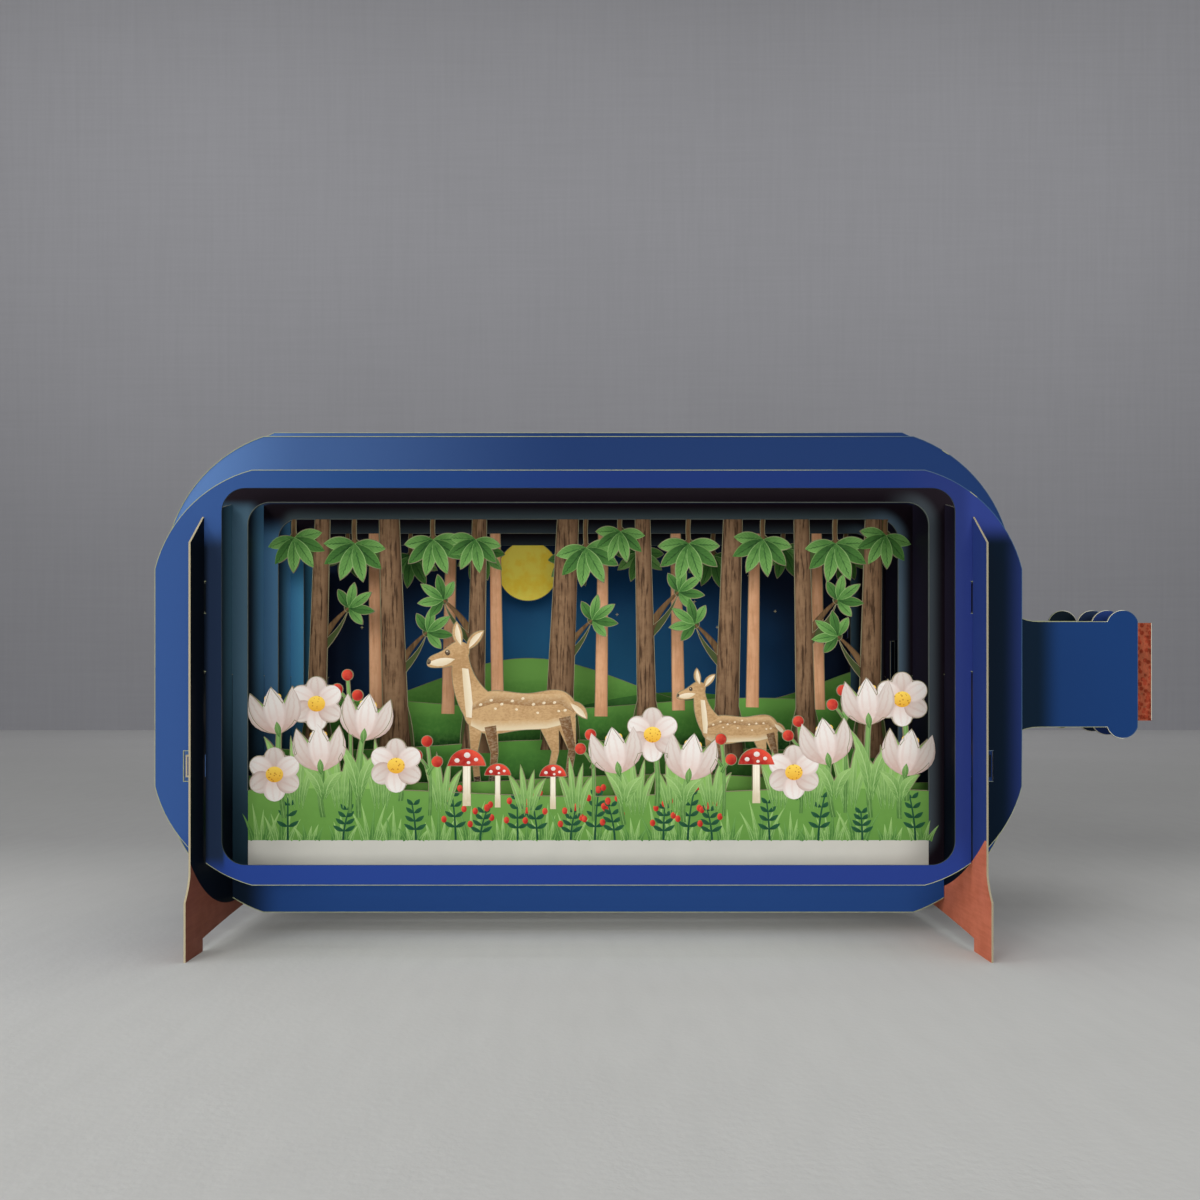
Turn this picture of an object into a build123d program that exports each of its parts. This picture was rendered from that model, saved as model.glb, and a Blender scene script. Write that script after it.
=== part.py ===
"""Pop-up greeting card in the shape of a bottle that lies on its side.

Upright slices of printed card stand one behind the other and are slotted on two side panels.
All lengths are in millimetres. X runs from the bottle's base to its mouth, Y from the front
frame to the back panel, and Z up from the table. The origin is at the middle of the footprint.
"""
import math
import os

from build123d import *

# Card and fits
card = 0.4
slot_gap = 0.1
lap_gap = 0.1
slot_width = card + 2 * slot_gap
slit_gap = 0.3
slit_width = card + 2 * slit_gap
slit_end_gap = 0.25

# Slices: where each stands along Y
body_depth = 100.0
meadow_inset = 16.5
neck_pitch = 7.5
strip_inset = 27.0
front_y = -body_depth / 2
meadow_y = front_y + meadow_inset
strip_y = front_y + strip_inset
near_y = -1.5 * neck_pitch
far_y = 1.5 * neck_pitch
hill_y = body_depth / 2 - meadow_inset
back_y = body_depth / 2

# Slice outlines: what lies beyond the side panels, below the window and above it, then the run
# and the rise of a corner
frame_outline = (10.2, 4.25, 3.8, 20.4, 20.8)
middle_outline = (14.7, 13.55, 15.0, 22.0, 25.8)
large_outline = (19.2, 15.75, 21.6, 22.0, 30.0)
corner_roundness = 0.137

# Window, the same in each slice that has one. The largest slice clears the table
table_clearance = 2.1
window_half = 77.0
window_height = 79.15
window_radius = 5.0
window_base = table_clearance + large_outline[1]
window_top = window_base + window_height
into_frame = 1.0

# Side panels stand in the margins beside the window
panel_margin = 3.8
panel_reach = window_half + panel_margin

# Neck and mouth
body_end = panel_reach + large_outline[0]
neck_axis_z = 58.5
neck_climb = 0.075
neck_half = 13.15
neck_length = 36.6
shoulder_radius = 12.0
lip_length = 7.6
lip_half = 15.95
mouth_end = body_end + neck_length
far_neck_setback = 4.2
cork_half = 12.7
cork_showing = 9.8
neck_tab_half = 9.0
neck_tab_reach = 0.9

# Shape of the side panels
panel_top = window_top + 4.0
panel_shoulder_z = window_top - 6.1
fin_depth = 7.5
fin_top = window_top - 12.5
fin_base = 17.2
foot_front = 10.0
foot_width = 9.0
foot_top = 12.0
foot_swell = 0.35
foot_inner_rise = 2.7
arch_rise = 2.5
lap_height = 58.0

# How the side panels and the two outer slices lock together
bridge_base = lap_height + 0.2
bridge_top = bridge_base + 12.8
upper_slit_top = bridge_top + 6.1
lock_base = 35.5
lock_top = 41.8
lock_reach = 3.5
lock_gap = 0.4

# Layered scene: ground lines (height, sway, phase) and what stands on them
meadow_ground = (31.5, 0.9, 0.6)
strip_ground = (33.7, 1.0, 2.6)
near_ground = (41.0, 1.3, 4.0)
far_ground = (51.0, 1.5, 1.2)
hill_ground = (57.0, 7.0, 4.6)
ground_waves = 4.2
ground_steps = 4
rooting = 2.6
strip_base = 9.0
strip_tab_base = 14.0
strip_tab_top = 26.0
strip_tab_end = 0.8
smallest_hole = 2.5

# Flowers and plants
cup_height = 11.0
cup_half = 4.9
cup_edge = 10.4
cup_notch = (2.06, 7.0)
cup_bulge = 2.8
petal_count = 6
petal_ring = 3.9
petal_radius = 2.35
stem_width = 1.3
stem_bend = 0.6
stem_sway = 0.12
stem_into_flower = 1.0
open_stem_offset = 1.0
leaf_width = 2.6
leaf_spread = 4.6
leaf_bend = 1.2
leaf_foot = 0.5
left_leaf_reach = 0.8
right_leaf_reach = 0.62
blade_width = 1.5
blade_foot_share = 0.3
blade_bend_share = 0.14
sprig_width = 0.9
sprig_offset = 0.6
sprig_bend = 0.4
berry_radius = 1.35
berry_spread = 2.3
left_berry_drop = 3.2
right_berry_drop = 4.6
berry_fork = 3.0
berry_fork_offset = 0.2
cap_radius = 4.4
cap_height = 4.0
stalk_width = 1.9
stalk_height = 6.0

# Blades of a tuft of grass: lean of the tip and share of the tuft's height
tuft_blades = [(-4.2, 0.7), (-1.4, 1.0), (1.8, 0.84), (4.4, 0.56)]

# Where the plants stand: place along X, then the height of the head, its lean or its size
cup_flowers = [(-70, 44.5, 10), (-60.5, 36.0, 4), (-51, 43.0, -8), (7, 35.5, 9), (22.5, 34.0, -8),
               (54.5, 37.5, 8), (63.5, 46.5, 3), (71.5, 35.0, -9)]
open_flowers = [(-61.5, 51.5), (-43.5, 37.5), (-71, 35.5), (14.5, 44.5), (46.5, 36.0), (71.0, 52.5)]
berry_sprigs = [(-54.5, 58.0), (-36.5, 43.0), (0.5, 44.5), (30.0, 43.5), (47.5, 47.5), (57.5, 54.5)]
toadstools = [(-27.5, 1.0), (-20.5, 0.7), (38.0, 0.95), (-8.0, 0.72)]
grass_tufts = [(-66, 12), (-56, 10), (-47, 12), (-33, 9), (-14, 7), (-3, 9), (11, 10), (19, 9),
               (28, 8), (43, 9), (50.5, 11), (59, 12), (67.5, 10)]

# Animals: place along X and size
doe_place = (-19.0, 1.0)
fawn_place = (34.0, 0.68)
hoof_rooting = 0.6
knee_half = 0.95
hoof_half = 0.8

# Trees: place of the trunk along X, its width, lean to the top, side and height of the bough
near_trunks = [
    (-67.5, 4.8, 1.5, 1, 64), (-48, 6.4, -1.5, 1, 58), (-28, 4.6, 1.0, -1, 66),
    (-7, 6.8, 2.0, 1, 61), (14.5, 4.8, -1.0, 1, 68), (34.5, 6.0, 1.5, -1, 60),
    (54, 4.8, -1.0, 1, 66), (70, 5.4, 1.0, -1, 57),
]
flare_height = 13.0
flare_reach = 1.6
flare_bend = 0.5
trunk_taper = 0.8
bough_rise = 11.0
bough_reach = 8.0
bough_width = 3.4
bough_bend = 1.2
bough_slimming = 0.8
bough_turn = 55.0
bough_leaves = 5
far_trunks = [(-73, 0.8), (-57.5, -0.6), (-38, 0.9), (-24.5, -0.7), (3.5, 0.6), (24.5, -0.8),
              (44.5, 0.7), (62.5, -0.6)]
far_trunk_width = 3.6

# Leaves in the trees: place along X, hang of the twig, facing in degrees, length
near_fans = [(-73, 4.5, -75, 9.0), (-58, 6, -95, 10.0), (-38.5, 5, -85, 9.5), (-28, 5, -100, 8.5),
             (-0.5, 7, -80, 10.0), (8, 3, -95, 8.0), (25, 6, -90, 10.0), (43.5, 5, -100, 9.5),
             (61.5, 6, -85, 10.0), (74, 4, -105, 8.5)]
far_fans = [(-65, 4, -90, 8.5), (-48, 6, -80, 9.0), (-29, 4.5, -95, 8.5), (-4, 6, -85, 9.0),
            (14, 5, -90, 8.5), (34, 6, -95, 9.0), (53, 4.0, -85, 8.5), (70, 5, -90, 8.0)]
fan_spread = 170.0
fan_rounding = 0.22
fan_hub_radius = 1.2
fan_leaves = 6
leaf_fullness = 0.36
bough_leaf = 7.0
twig_width = 1.2
twig_bend = 0.2

# Disc that hangs from the window of the hill layer
moon_place = (-17.6, window_top - 7.5)
moon_radius = 8.8

# The card reaches further to the mouth than to the base, so the footprint's middle is off
# the middle of the body
cork_end = mouth_end + cork_showing
body_middle = -(cork_end - body_end) / 2


def slice_plane(y):
    """Plane of an upright slice seen from the front."""
    return Plane(origin=(body_middle, y, 0), x_dir=(1, 0, 0), z_dir=(0, -1, 0))


def panel_plane(x):
    """Plane of a side panel, square to the slices."""
    return Plane(origin=(body_middle + x, 0, 0), x_dir=(0, 1, 0), z_dir=(1, 0, 0))


def body_outline(beyond_panel, below_window, above_window, corner_run, corner_rise):
    """Side view of the bottle's body: straight edges joined by four flattened arcs."""
    half_width = panel_reach + beyond_panel
    flat_half = half_width - corner_run
    base = window_base - below_window
    top = window_top + above_window
    bulge = corner_roundness * math.hypot(corner_run, corner_rise)
    with BuildLine() as edge:
        Line((0, base), (flat_half, base))
        SagittaArc((flat_half, base), (half_width, base + corner_rise), -bulge)
        Line((half_width, base + corner_rise), (half_width, top - corner_rise))
        SagittaArc((half_width, top - corner_rise), (flat_half, top), -bulge)
        Polyline((flat_half, top), (0, top), (0, base))
    make_face(edge.edges())
    mirror(about=Plane.YZ)


def cut_window():
    """Rounded window through a slice."""
    with Locations((0, (window_base + window_top) / 2)):
        RectangleRounded(
            2 * window_half, window_top - window_base, window_radius, mode=Mode.SUBTRACT
        )


def cut_slots(places, low, high, width=slot_width):
    """Upright slots, each as wide as the card and its clearance."""
    with Locations(*[(place, low) for place in places]):
        Rectangle(width, high - low, align=(Align.CENTER, Align.MIN), mode=Mode.SUBTRACT)


def cut_lap_slots():
    """Slots from a slice's lower edge up to the middle of the lap with the side panels."""
    cut_slots((-panel_reach, panel_reach), 0, lap_height + lap_gap)


def cut_lock_slits():
    """Slits and lock holes of the two outer slices, where the side panels come through."""
    both = (-panel_reach, panel_reach)
    cut_slots(both, 0, bridge_base + slit_end_gap, slit_width)
    cut_slots(both, bridge_top - slit_end_gap, upper_slit_top + slit_end_gap, slit_width)
    lock_width = card / 2 + lock_reach + lock_gap
    for side in (-1, 1):
        with Locations((side * (panel_reach + lock_width / 2), (lock_base + lock_top) / 2)):
            Rectangle(lock_width, lock_top - lock_base, mode=Mode.SUBTRACT)


def neck_middle(y):
    """Height of the middle of the neck, which climbs a little towards the back."""
    return neck_axis_z + neck_climb * (y - near_y)


def neck_profile(root, setback=0.0):
    """Neck with concave shoulders at its root and a rounded lip at the mouth."""
    shoulder = neck_half + shoulder_radius
    mouth = mouth_end - setback
    start = mouth - lip_length
    with BuildSketch() as profile:
        with BuildLine():
            Line((mouth, 0), (mouth, neck_half))
            SagittaArc((mouth, neck_half), (start, neck_half), neck_half - lip_half)
            Line((start, neck_half), (body_end + shoulder_radius, neck_half))
            RadiusArc((body_end + shoulder_radius, neck_half), (body_end, shoulder),
                      shoulder_radius)
            Polyline((body_end, shoulder), (root, shoulder), (root, 0), (mouth, 0))
        make_face()
        mirror(about=Plane.XZ)
    return profile.sketch


def curved_strip(start, end, width, bend):
    """Face of a stem or a twig: a strip that bends to one side by the given sagitta."""
    half = width / 2
    (x0, z0), (x1, z1) = start, end
    with BuildLine() as edge:
        SagittaArc((x0 + half, z0), (x1 + half, z1), bend)
        Line((x1 + half, z1), (x1 - half, z1))
        SagittaArc((x1 - half, z1), (x0 - half, z0), -bend)
        Line((x0 - half, z0), (x0 + half, z0))
    return make_face(edge.edges(), mode=Mode.PRIVATE)


def leaf_blade(base, tip, width, bend):
    """Face of a leaf or a blade of grass: two arcs that meet in a point."""
    with BuildLine() as edge:
        SagittaArc(base, tip, bend - width / 2)
        SagittaArc(tip, base, -bend - width / 2)
    return make_face(edge.edges(), mode=Mode.PRIVATE)


def taper(root, tip, width, bend):
    """Face of a bough that runs out to a point. The bend is a sagitta towards the bough's foot."""
    (x0, z0) = root
    with BuildLine() as edge:
        SagittaArc((x0, z0 - width / 2), tip, -bend)
        SagittaArc(tip, (x0, z0 + width / 2), bend * bough_slimming)
        Line((x0, z0 + width / 2), (x0, z0 - width / 2))
    return make_face(edge.edges(), mode=Mode.PRIVATE)


def disc(centre, radius):
    """Round face."""
    return Pos(*centre) * Circle(radius, mode=Mode.PRIVATE)


def leaf_fan(hub, facing, count, length):
    """Oval leaves that spread from one point of a twig, the middle ones the longest."""
    leaves = [disc(hub, fan_hub_radius)]
    for index in range(count):
        share = 2 * index / (count - 1) - 1
        angle = math.radians(facing + fan_spread / 2 * share)
        reach = length * (1 - fan_rounding * share * share)
        tip = (hub[0] + reach * math.cos(angle), hub[1] + reach * math.sin(angle))
        leaves.append(leaf_blade(hub, tip, length * leaf_fullness, 0))
    return leaves


def fill_specks(outline):
    """Fill the holes that are too small for a cutting die."""
    for face in outline.sketch_local.faces():
        for wire in face.inner_wires():
            hole = Face(wire)
            if hole.area < smallest_hole:
                add(hole)


def rolling_height(x, ground):
    """Height of a rolling ground line at a place along X."""
    height, sway, phase = ground
    return height + sway * math.sin(phase + ground_waves * (x + window_half) / window_half)


def ground_face(ground, base, half):
    """Face from the base up to a rolling ground line."""
    reaches = [half * (step / ground_steps - 1) for step in range(2 * ground_steps + 1)]
    points = [(x, rolling_height(x, ground)) for x in reaches]
    with BuildLine() as edge:
        Spline(*points)
        Polyline(points[-1], (half, base), (-half, base), points[0])
    make_face(edge.edges())


# Flowers, drawn from the top of their stems
with BuildSketch() as cup_flower:
    with BuildLine():
        Polyline((0, 0), (0, cup_height), cup_notch, (cup_half, cup_edge))
        SagittaArc((cup_half, cup_edge), (0, 0), cup_bulge)
    make_face()
    mirror(about=Plane.YZ)

with BuildSketch() as open_flower:
    Circle(petal_ring)
    with PolarLocations(petal_ring, petal_count, start_angle=90):
        Circle(petal_radius)

with BuildSketch() as toadstool:
    with BuildLine():
        Line((-cap_radius, stalk_height), (cap_radius, stalk_height))
        SagittaArc((cap_radius, stalk_height), (-cap_radius, stalk_height), -cap_height)
    make_face()
    Rectangle(stalk_width, 2 * stalk_height, align=(Align.CENTER, Align.CENTER))


def cup_flower_plant(x, top, lean):
    """Cup-shaped flower on a stem with one long leaf on each side."""
    foot = rolling_height(x, meadow_ground) - rooting
    root = x + lean * stem_sway
    faces = [curved_strip((root, foot), (x, top + stem_into_flower), stem_width, stem_bend)]
    for side, share in ((-1, left_leaf_reach), (1, right_leaf_reach)):
        tip = (root + side * leaf_spread, foot + (top - foot) * share + rooting)
        faces.append(leaf_blade((root + side * leaf_foot, foot), tip, leaf_width, side * leaf_bend))
    faces.append(Location((x, top, 0), lean) * cup_flower.sketch)
    return faces


def open_flower_plant(x, top):
    """Open flower that faces the viewer, on a bent stem."""
    foot = rolling_height(x, meadow_ground) - rooting
    stem = curved_strip((x + open_stem_offset, foot), (x, top), stem_width, -stem_bend)
    return [stem, Pos(x, top) * open_flower.sketch]


def berry_sprig(x, top):
    """Thin stem with one berry at its top and one on each side."""
    foot = rolling_height(x, meadow_ground) - rooting
    faces = [curved_strip((x + sprig_offset, foot), (x, top), sprig_width, -sprig_bend)]
    faces.append(disc((x, top), berry_radius))
    for side, drop in ((-1, left_berry_drop), (1, right_berry_drop)):
        fork = (x + berry_fork_offset, top - drop - berry_fork)
        berry = (x + side * berry_spread, top - drop)
        faces.append(curved_strip(fork, berry, sprig_width, side * twig_bend))
        faces.append(disc(berry, berry_radius))
    return faces


def grass_tuft(x, height):
    """Four blades of grass that fan out from one foot."""
    foot = rolling_height(x, meadow_ground) - rooting
    blades = []
    for lean, share in tuft_blades:
        tip = (x + lean, foot + rooting + height * share)
        base = (x + lean * blade_foot_share, foot)
        blades.append(leaf_blade(base, tip, blade_width, lean * blade_bend_share))
    return blades


def meadow_plants():
    """Everything that stands up from the meadow's ground line."""
    faces = []
    for x, height in grass_tufts:
        faces += grass_tuft(x, height)
    for x, top in open_flowers:
        faces += open_flower_plant(x, top)
    for x, top, lean in cup_flowers:
        faces += cup_flower_plant(x, top, lean)
    for x, top in berry_sprigs:
        faces += berry_sprig(x, top)
    for x, size in toadstools:
        grown = scale(toadstool.sketch, by=size, mode=Mode.PRIVATE)
        faces.append(Pos(x, rolling_height(x, meadow_ground)) * grown)
    return faces


def deer_profile():
    """Outline of a standing deer made of a body, a neck, a head, ears, legs and a tail."""
    with BuildSketch() as profile:
        with BuildLine():
            Spline((-9.6, 18.6), (-10.3, 15.2), (-6.5, 11.9), (2, 12.3), (9.5, 12.6), (14.6, 13.8),
                   (16.3, 17.8), (13.5, 21.6), (5, 21.3), (-3.5, 21.9), (-9.6, 18.6))
        make_face()
        with BuildLine():
            Line((-10.2, 15.4), (-3.6, 20.8))
            SagittaArc((-3.6, 20.8), (-9.4, 32.2), 1.6)
            Line((-9.4, 32.2), (-13.2, 29.2))
            SagittaArc((-13.2, 29.2), (-10.2, 15.4), -1.2)
        make_face()
        with BuildLine():
            Spline((-9.2, 32.6), (-12.6, 33.4), (-16.2, 31.0), (-19.0, 29.3), (-19.2, 27.9),
                   (-16.8, 27.2), (-13.0, 27.7), (-9.8, 29.4), (-9.2, 32.6))
        make_face()
        for root, tip, width in (
            ((-11.2, 32.2), (-12.2, 38.4), 2.5),
            ((-9.8, 31.4), (-5.6, 36.2), 2.6),
            ((14.6, 19.4), (18.8, 15.0), 2.6),
        ):
            add(leaf_blade(root, tip, width, 0.3))
        for hip, knee, hoof, thick in (
            ((-7.6, 14.0), (-8.0, 7.6), (-7.2, 0), 3.6),
            ((-4.2, 13.4), (-3.2, 7.0), (-3.8, 0), 3.6),
            ((9.4, 14.4), (11.2, 7.4), (9.6, 0), 5.2),
            ((13.4, 15.6), (15.2, 7.8), (14.0, 0), 5.4),
        ):
            with BuildLine():
                Polyline((hip[0] - thick / 2, hip[1]), (knee[0] - knee_half, knee[1]),
                         (hoof[0] - hoof_half, hoof[1]), (hoof[0] + hoof_half, hoof[1]),
                         (knee[0] + knee_half, knee[1]), (hip[0] + thick / 2, hip[1]), close=True)
            make_face()
    return profile.sketch


def near_trees():
    """Thick trunks with flared feet, each with one bough that ends in a fan of leaves."""
    faces = []
    for x, width, lean, side, bough in near_trunks:
        half = width / 2
        foot = rolling_height(x, near_ground) - rooting
        flare = foot + flare_height
        top = window_top + into_frame
        with BuildLine() as edge:
            SagittaArc((x + half + flare_reach, foot), (x + half, flare), -flare_bend)
            Polyline((x + half, flare), (x + half * trunk_taper + lean, top),
                     (x - half * trunk_taper + lean, top), (x - half, flare))
            SagittaArc((x - half, flare), (x - half - flare_reach, foot), -flare_bend)
            Line((x - half - flare_reach, foot), (x + half + flare_reach, foot))
        faces.append(make_face(edge.edges(), mode=Mode.PRIVATE))
        tip = (x + side * bough_reach, bough + bough_rise)
        faces.append(taper((x, bough), tip, bough_width, side * bough_bend))
        faces += leaf_fan(tip, 90 - bough_turn * side, bough_leaves, bough_leaf)
    return faces


def far_trees():
    """Thin trunks, nearly straight."""
    faces = []
    half = far_trunk_width / 2
    for x, lean in far_trunks:
        foot = rolling_height(x, far_ground) - rooting
        top = window_top + into_frame
        with BuildLine() as edge:
            Polyline((x - half, foot), (x + half, foot), (x + half * trunk_taper + lean, top),
                     (x - half * trunk_taper + lean, top), close=True)
        faces.append(make_face(edge.edges(), mode=Mode.PRIVATE))
    return faces


def hanging_leaves(fans):
    """Fans of leaves on short twigs that hang from the top edge of the window."""
    faces = []
    for x, hang, facing, length in fans:
        hub = (x, window_top - hang)
        faces.append(curved_strip(hub, (x, window_top + into_frame), twig_width, twig_bend))
        faces += leaf_fan(hub, facing, fan_leaves, length)
    return faces


# Front frame
with BuildPart() as front_frame:
    with BuildSketch(slice_plane(front_y)):
        body_outline(*frame_outline)
        cut_window()
        cut_lock_slits()
    extrude(amount=card / 2, both=True)
front_frame.part.label = "front_frame"

# Meadow layer
with BuildPart() as meadow_layer:
    with BuildSketch(slice_plane(meadow_y)) as outline:
        body_outline(*middle_outline)
        cut_window()
        ground_face(meadow_ground, window_base - into_frame, window_half + into_frame)
        add(meadow_plants())
        fill_specks(outline)
        cut_lap_slots()
    extrude(amount=card / 2, both=True)
meadow_layer.part.label = "meadow_layer"

# Animal strip, tabbed into the side panels
deer = deer_profile()
strip_half = panel_reach - card / 2 - slot_gap
strip_tab_reach = card + slot_gap + strip_tab_end
with BuildPart() as animal_strip:
    with BuildSketch(slice_plane(strip_y)):
        ground_face(strip_ground, strip_base, strip_half)
        with Locations((0, (strip_tab_base + strip_tab_top) / 2)):
            Rectangle(2 * (strip_half + strip_tab_reach), strip_tab_top - strip_tab_base)
        for place, size in (doe_place, fawn_place):
            with Locations((place, rolling_height(place, strip_ground) - hoof_rooting)):
                add(scale(deer, by=size, mode=Mode.PRIVATE))
    extrude(amount=card / 2, both=True)
animal_strip.part.label = "animal_strip"

# Near trees, the slice that carries the front of the neck
near_neck = neck_profile(body_end - into_frame)
with BuildPart() as near_trees_layer:
    with BuildSketch(slice_plane(near_y)) as outline:
        body_outline(*large_outline)
        cut_window()
        ground_face(near_ground, window_base - into_frame, window_half + into_frame)
        add(near_trees() + hanging_leaves(near_fans))
        fill_specks(outline)
        with Locations((0, neck_middle(near_y))):
            add(near_neck)
        cut_lap_slots()
    extrude(amount=card / 2, both=True)
near_trees_layer.part.label = "near_trees_layer"

# Far trees, the slice that carries the rear of the neck
far_neck = neck_profile(body_end - into_frame, far_neck_setback)
with BuildPart() as far_trees_layer:
    with BuildSketch(slice_plane(far_y)) as outline:
        body_outline(*large_outline)
        cut_window()
        ground_face(far_ground, window_base - into_frame, window_half + into_frame)
        add(far_trees() + hanging_leaves(far_fans))
        fill_specks(outline)
        with Locations((0, neck_middle(far_y))):
            add(far_neck)
        cut_lap_slots()
    extrude(amount=card / 2, both=True)
far_trees_layer.part.label = "far_trees_layer"

# Hill layer
with BuildPart() as hill_layer:
    with BuildSketch(slice_plane(hill_y)):
        body_outline(*middle_outline)
        cut_window()
        ground_face(hill_ground, window_base - into_frame, window_half + into_frame)
        with Locations(moon_place):
            Circle(moon_radius)
        cut_lap_slots()
    extrude(amount=card / 2, both=True)
hill_layer.part.label = "hill_layer"

# Back panel
with BuildPart() as back_panel:
    with BuildSketch(slice_plane(back_y)):
        body_outline(*frame_outline)
        cut_lock_slits()
    extrude(amount=card / 2, both=True)
back_panel.part.label = "back_panel"

# Neck-only sheets, tabbed into the right side panel
sheet_root = panel_reach + card / 2 + slot_gap
neck_sheet_profile = neck_profile(sheet_root)
inner_tab_end = panel_reach - card / 2 - neck_tab_reach
neck_sheets = []
for name, y in (("front_neck_sheet", -neck_pitch / 2), ("rear_neck_sheet", neck_pitch / 2)):
    with BuildPart() as neck_sheet:
        with BuildSketch(slice_plane(y)):
            with Locations((0, neck_middle(y))):
                add(neck_sheet_profile)
            with Locations((inner_tab_end, neck_axis_z)):
                Rectangle(sheet_root - inner_tab_end + into_frame, 2 * neck_tab_half,
                          align=(Align.MIN, Align.CENTER))
        extrude(amount=card / 2, both=True)
    neck_sheet.part.label = name
    neck_sheets.append(neck_sheet.part)

# Cork sheet in the middle of the neck
with BuildPart() as cork_sheet:
    with BuildSketch(slice_plane(0)):
        with Locations((sheet_root, neck_middle(0))):
            Rectangle(cork_end - sheet_root, 2 * cork_half, align=(Align.MIN, Align.CENTER))
        with Locations((inner_tab_end, neck_axis_z)):
            Rectangle(sheet_root - inner_tab_end + into_frame, 2 * neck_tab_half,
                      align=(Align.MIN, Align.CENTER))
    extrude(amount=card / 2, both=True)
cork_sheet.part.label = "cork_sheet"


def stand_panel(side, neck_slots):
    """Side panel with fins, feet, lock tabs and the slots that take the slices."""
    outer = body_depth / 2
    fin = outer + fin_depth
    foot = outer + foot_front
    shoulder = outer + card / 2 + slot_gap
    laps = (meadow_y, near_y, far_y, hill_y)
    tab_base = lock_base + 2 * lock_gap
    tab_top = lock_top - 2 * lock_gap
    with BuildPart() as panel:
        with BuildSketch(panel_plane(side * panel_reach)):
            with BuildLine():
                SagittaArc((foot_width - foot, foot_inner_rise), (foot - foot_width, foot_inner_rise),
                           arch_rise)
                Polyline((foot - foot_width, foot_inner_rise), (foot - foot_width, 0), (foot, 0),
                         (foot, foot_top))
                SagittaArc((foot, foot_top), (fin, fin_base), foot_swell)
                Polyline((fin, fin_base), (fin, fin_top), (shoulder, panel_shoulder_z))
                SagittaArc((shoulder, panel_shoulder_z), (-shoulder, panel_shoulder_z),
                           panel_shoulder_z - panel_top)
                Polyline((-shoulder, panel_shoulder_z), (-fin, fin_top), (-fin, fin_base))
                SagittaArc((-fin, fin_base), (-foot, foot_top), foot_swell)
                Polyline((-foot, foot_top), (-foot, 0), (foot_width - foot, 0),
                         (foot_width - foot, foot_inner_rise))
            make_face()
            cut_slots(laps, lap_height - lap_gap, panel_top + into_frame)
            cut_slots((front_y, back_y), upper_slit_top - lap_gap, panel_top)
            cut_slots((front_y, back_y), bridge_base - lap_gap, bridge_top + lap_gap)
            cut_slots((strip_y,), strip_tab_base - lap_gap, strip_tab_top + lap_gap)
            for end in (-1, 1):
                with Locations((end * (outer - card / 2 - lock_reach / 2), (tab_base + tab_top) / 2)):
                    Rectangle(lock_reach, tab_top - tab_base, mode=Mode.SUBTRACT)
            if neck_slots:
                cut_slots((-neck_pitch / 2, 0, neck_pitch / 2), neck_axis_z - neck_tab_half - lap_gap,
                          neck_axis_z + neck_tab_half + lap_gap)
        extrude(amount=card / 2, both=True)
        for y in (front_y, back_y):
            with BuildSketch(slice_plane(y)):
                with Locations((side * (panel_reach + lock_reach / 2), (tab_base + tab_top) / 2)):
                    Rectangle(lock_reach + card, tab_top - tab_base)
            extrude(amount=card / 2, both=True)
    return panel.part


left_stand_panel = stand_panel(-1, False)
left_stand_panel.label = "left_stand_panel"
right_stand_panel = stand_panel(1, True)
right_stand_panel.label = "right_stand_panel"

pieces = [
    front_frame.part, meadow_layer.part, animal_strip.part, near_trees_layer.part,
    far_trees_layer.part, hill_layer.part, back_panel.part, cork_sheet.part,
    left_stand_panel, right_stand_panel, *neck_sheets,
]
os.makedirs("parts", exist_ok=True)
for piece in pieces:
    export_step(piece, f"parts/{piece.label}.step")
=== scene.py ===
"""Looks of a bottle-shaped pop-up greeting card: printed card, cut edges and layered print."""
import math

import bpy
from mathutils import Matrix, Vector


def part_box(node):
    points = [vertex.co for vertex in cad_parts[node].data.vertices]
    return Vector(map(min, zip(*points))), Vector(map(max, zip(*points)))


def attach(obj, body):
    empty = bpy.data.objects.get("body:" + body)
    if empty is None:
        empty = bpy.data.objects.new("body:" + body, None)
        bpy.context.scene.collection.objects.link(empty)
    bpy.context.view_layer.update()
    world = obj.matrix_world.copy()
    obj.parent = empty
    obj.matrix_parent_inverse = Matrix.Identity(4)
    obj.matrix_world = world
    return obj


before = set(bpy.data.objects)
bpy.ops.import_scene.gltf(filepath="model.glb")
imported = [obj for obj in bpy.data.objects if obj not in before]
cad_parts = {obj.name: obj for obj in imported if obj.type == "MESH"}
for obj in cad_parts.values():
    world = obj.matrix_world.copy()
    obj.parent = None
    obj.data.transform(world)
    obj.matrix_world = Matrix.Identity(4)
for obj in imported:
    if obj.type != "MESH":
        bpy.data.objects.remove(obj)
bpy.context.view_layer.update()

# Camera: a level view from just in front of the window. The optical axis meets the picture to
# the left of its middle and below it, so the lens is shifted and the uprights stay upright.
picture_side = 1200
axis_pixel = (587, 690)
camera_place = (-0.0235, -0.260, 0.0546)
lens = 30.0
sensor = 36.0
nearest_seen = 0.005


def add_object(name, data):
    """Object of the scene with the given data."""
    made = bpy.data.objects.new(name, data)
    bpy.context.scene.collection.objects.link(made)
    return made


camera = add_object("camera", bpy.data.cameras.new("camera"))
camera.location = camera_place
camera.rotation_euler = (math.radians(90), 0, 0)
camera.data.lens = lens
camera.data.sensor_width = sensor
camera.data.shift_x = (picture_side / 2 - axis_pixel[0]) / picture_side
camera.data.shift_y = (axis_pixel[1] - picture_side / 2) / picture_side
camera.data.clip_start = nearest_seen
bpy.context.scene.camera = camera
bpy.context.scene.view_settings.view_transform = "Standard"

# Setting: a pale matt floor that meets a grey wall behind, and soft light. One softbox stands
# high on the left, one in front, one at the left side and one above, and the world fills in.


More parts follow.
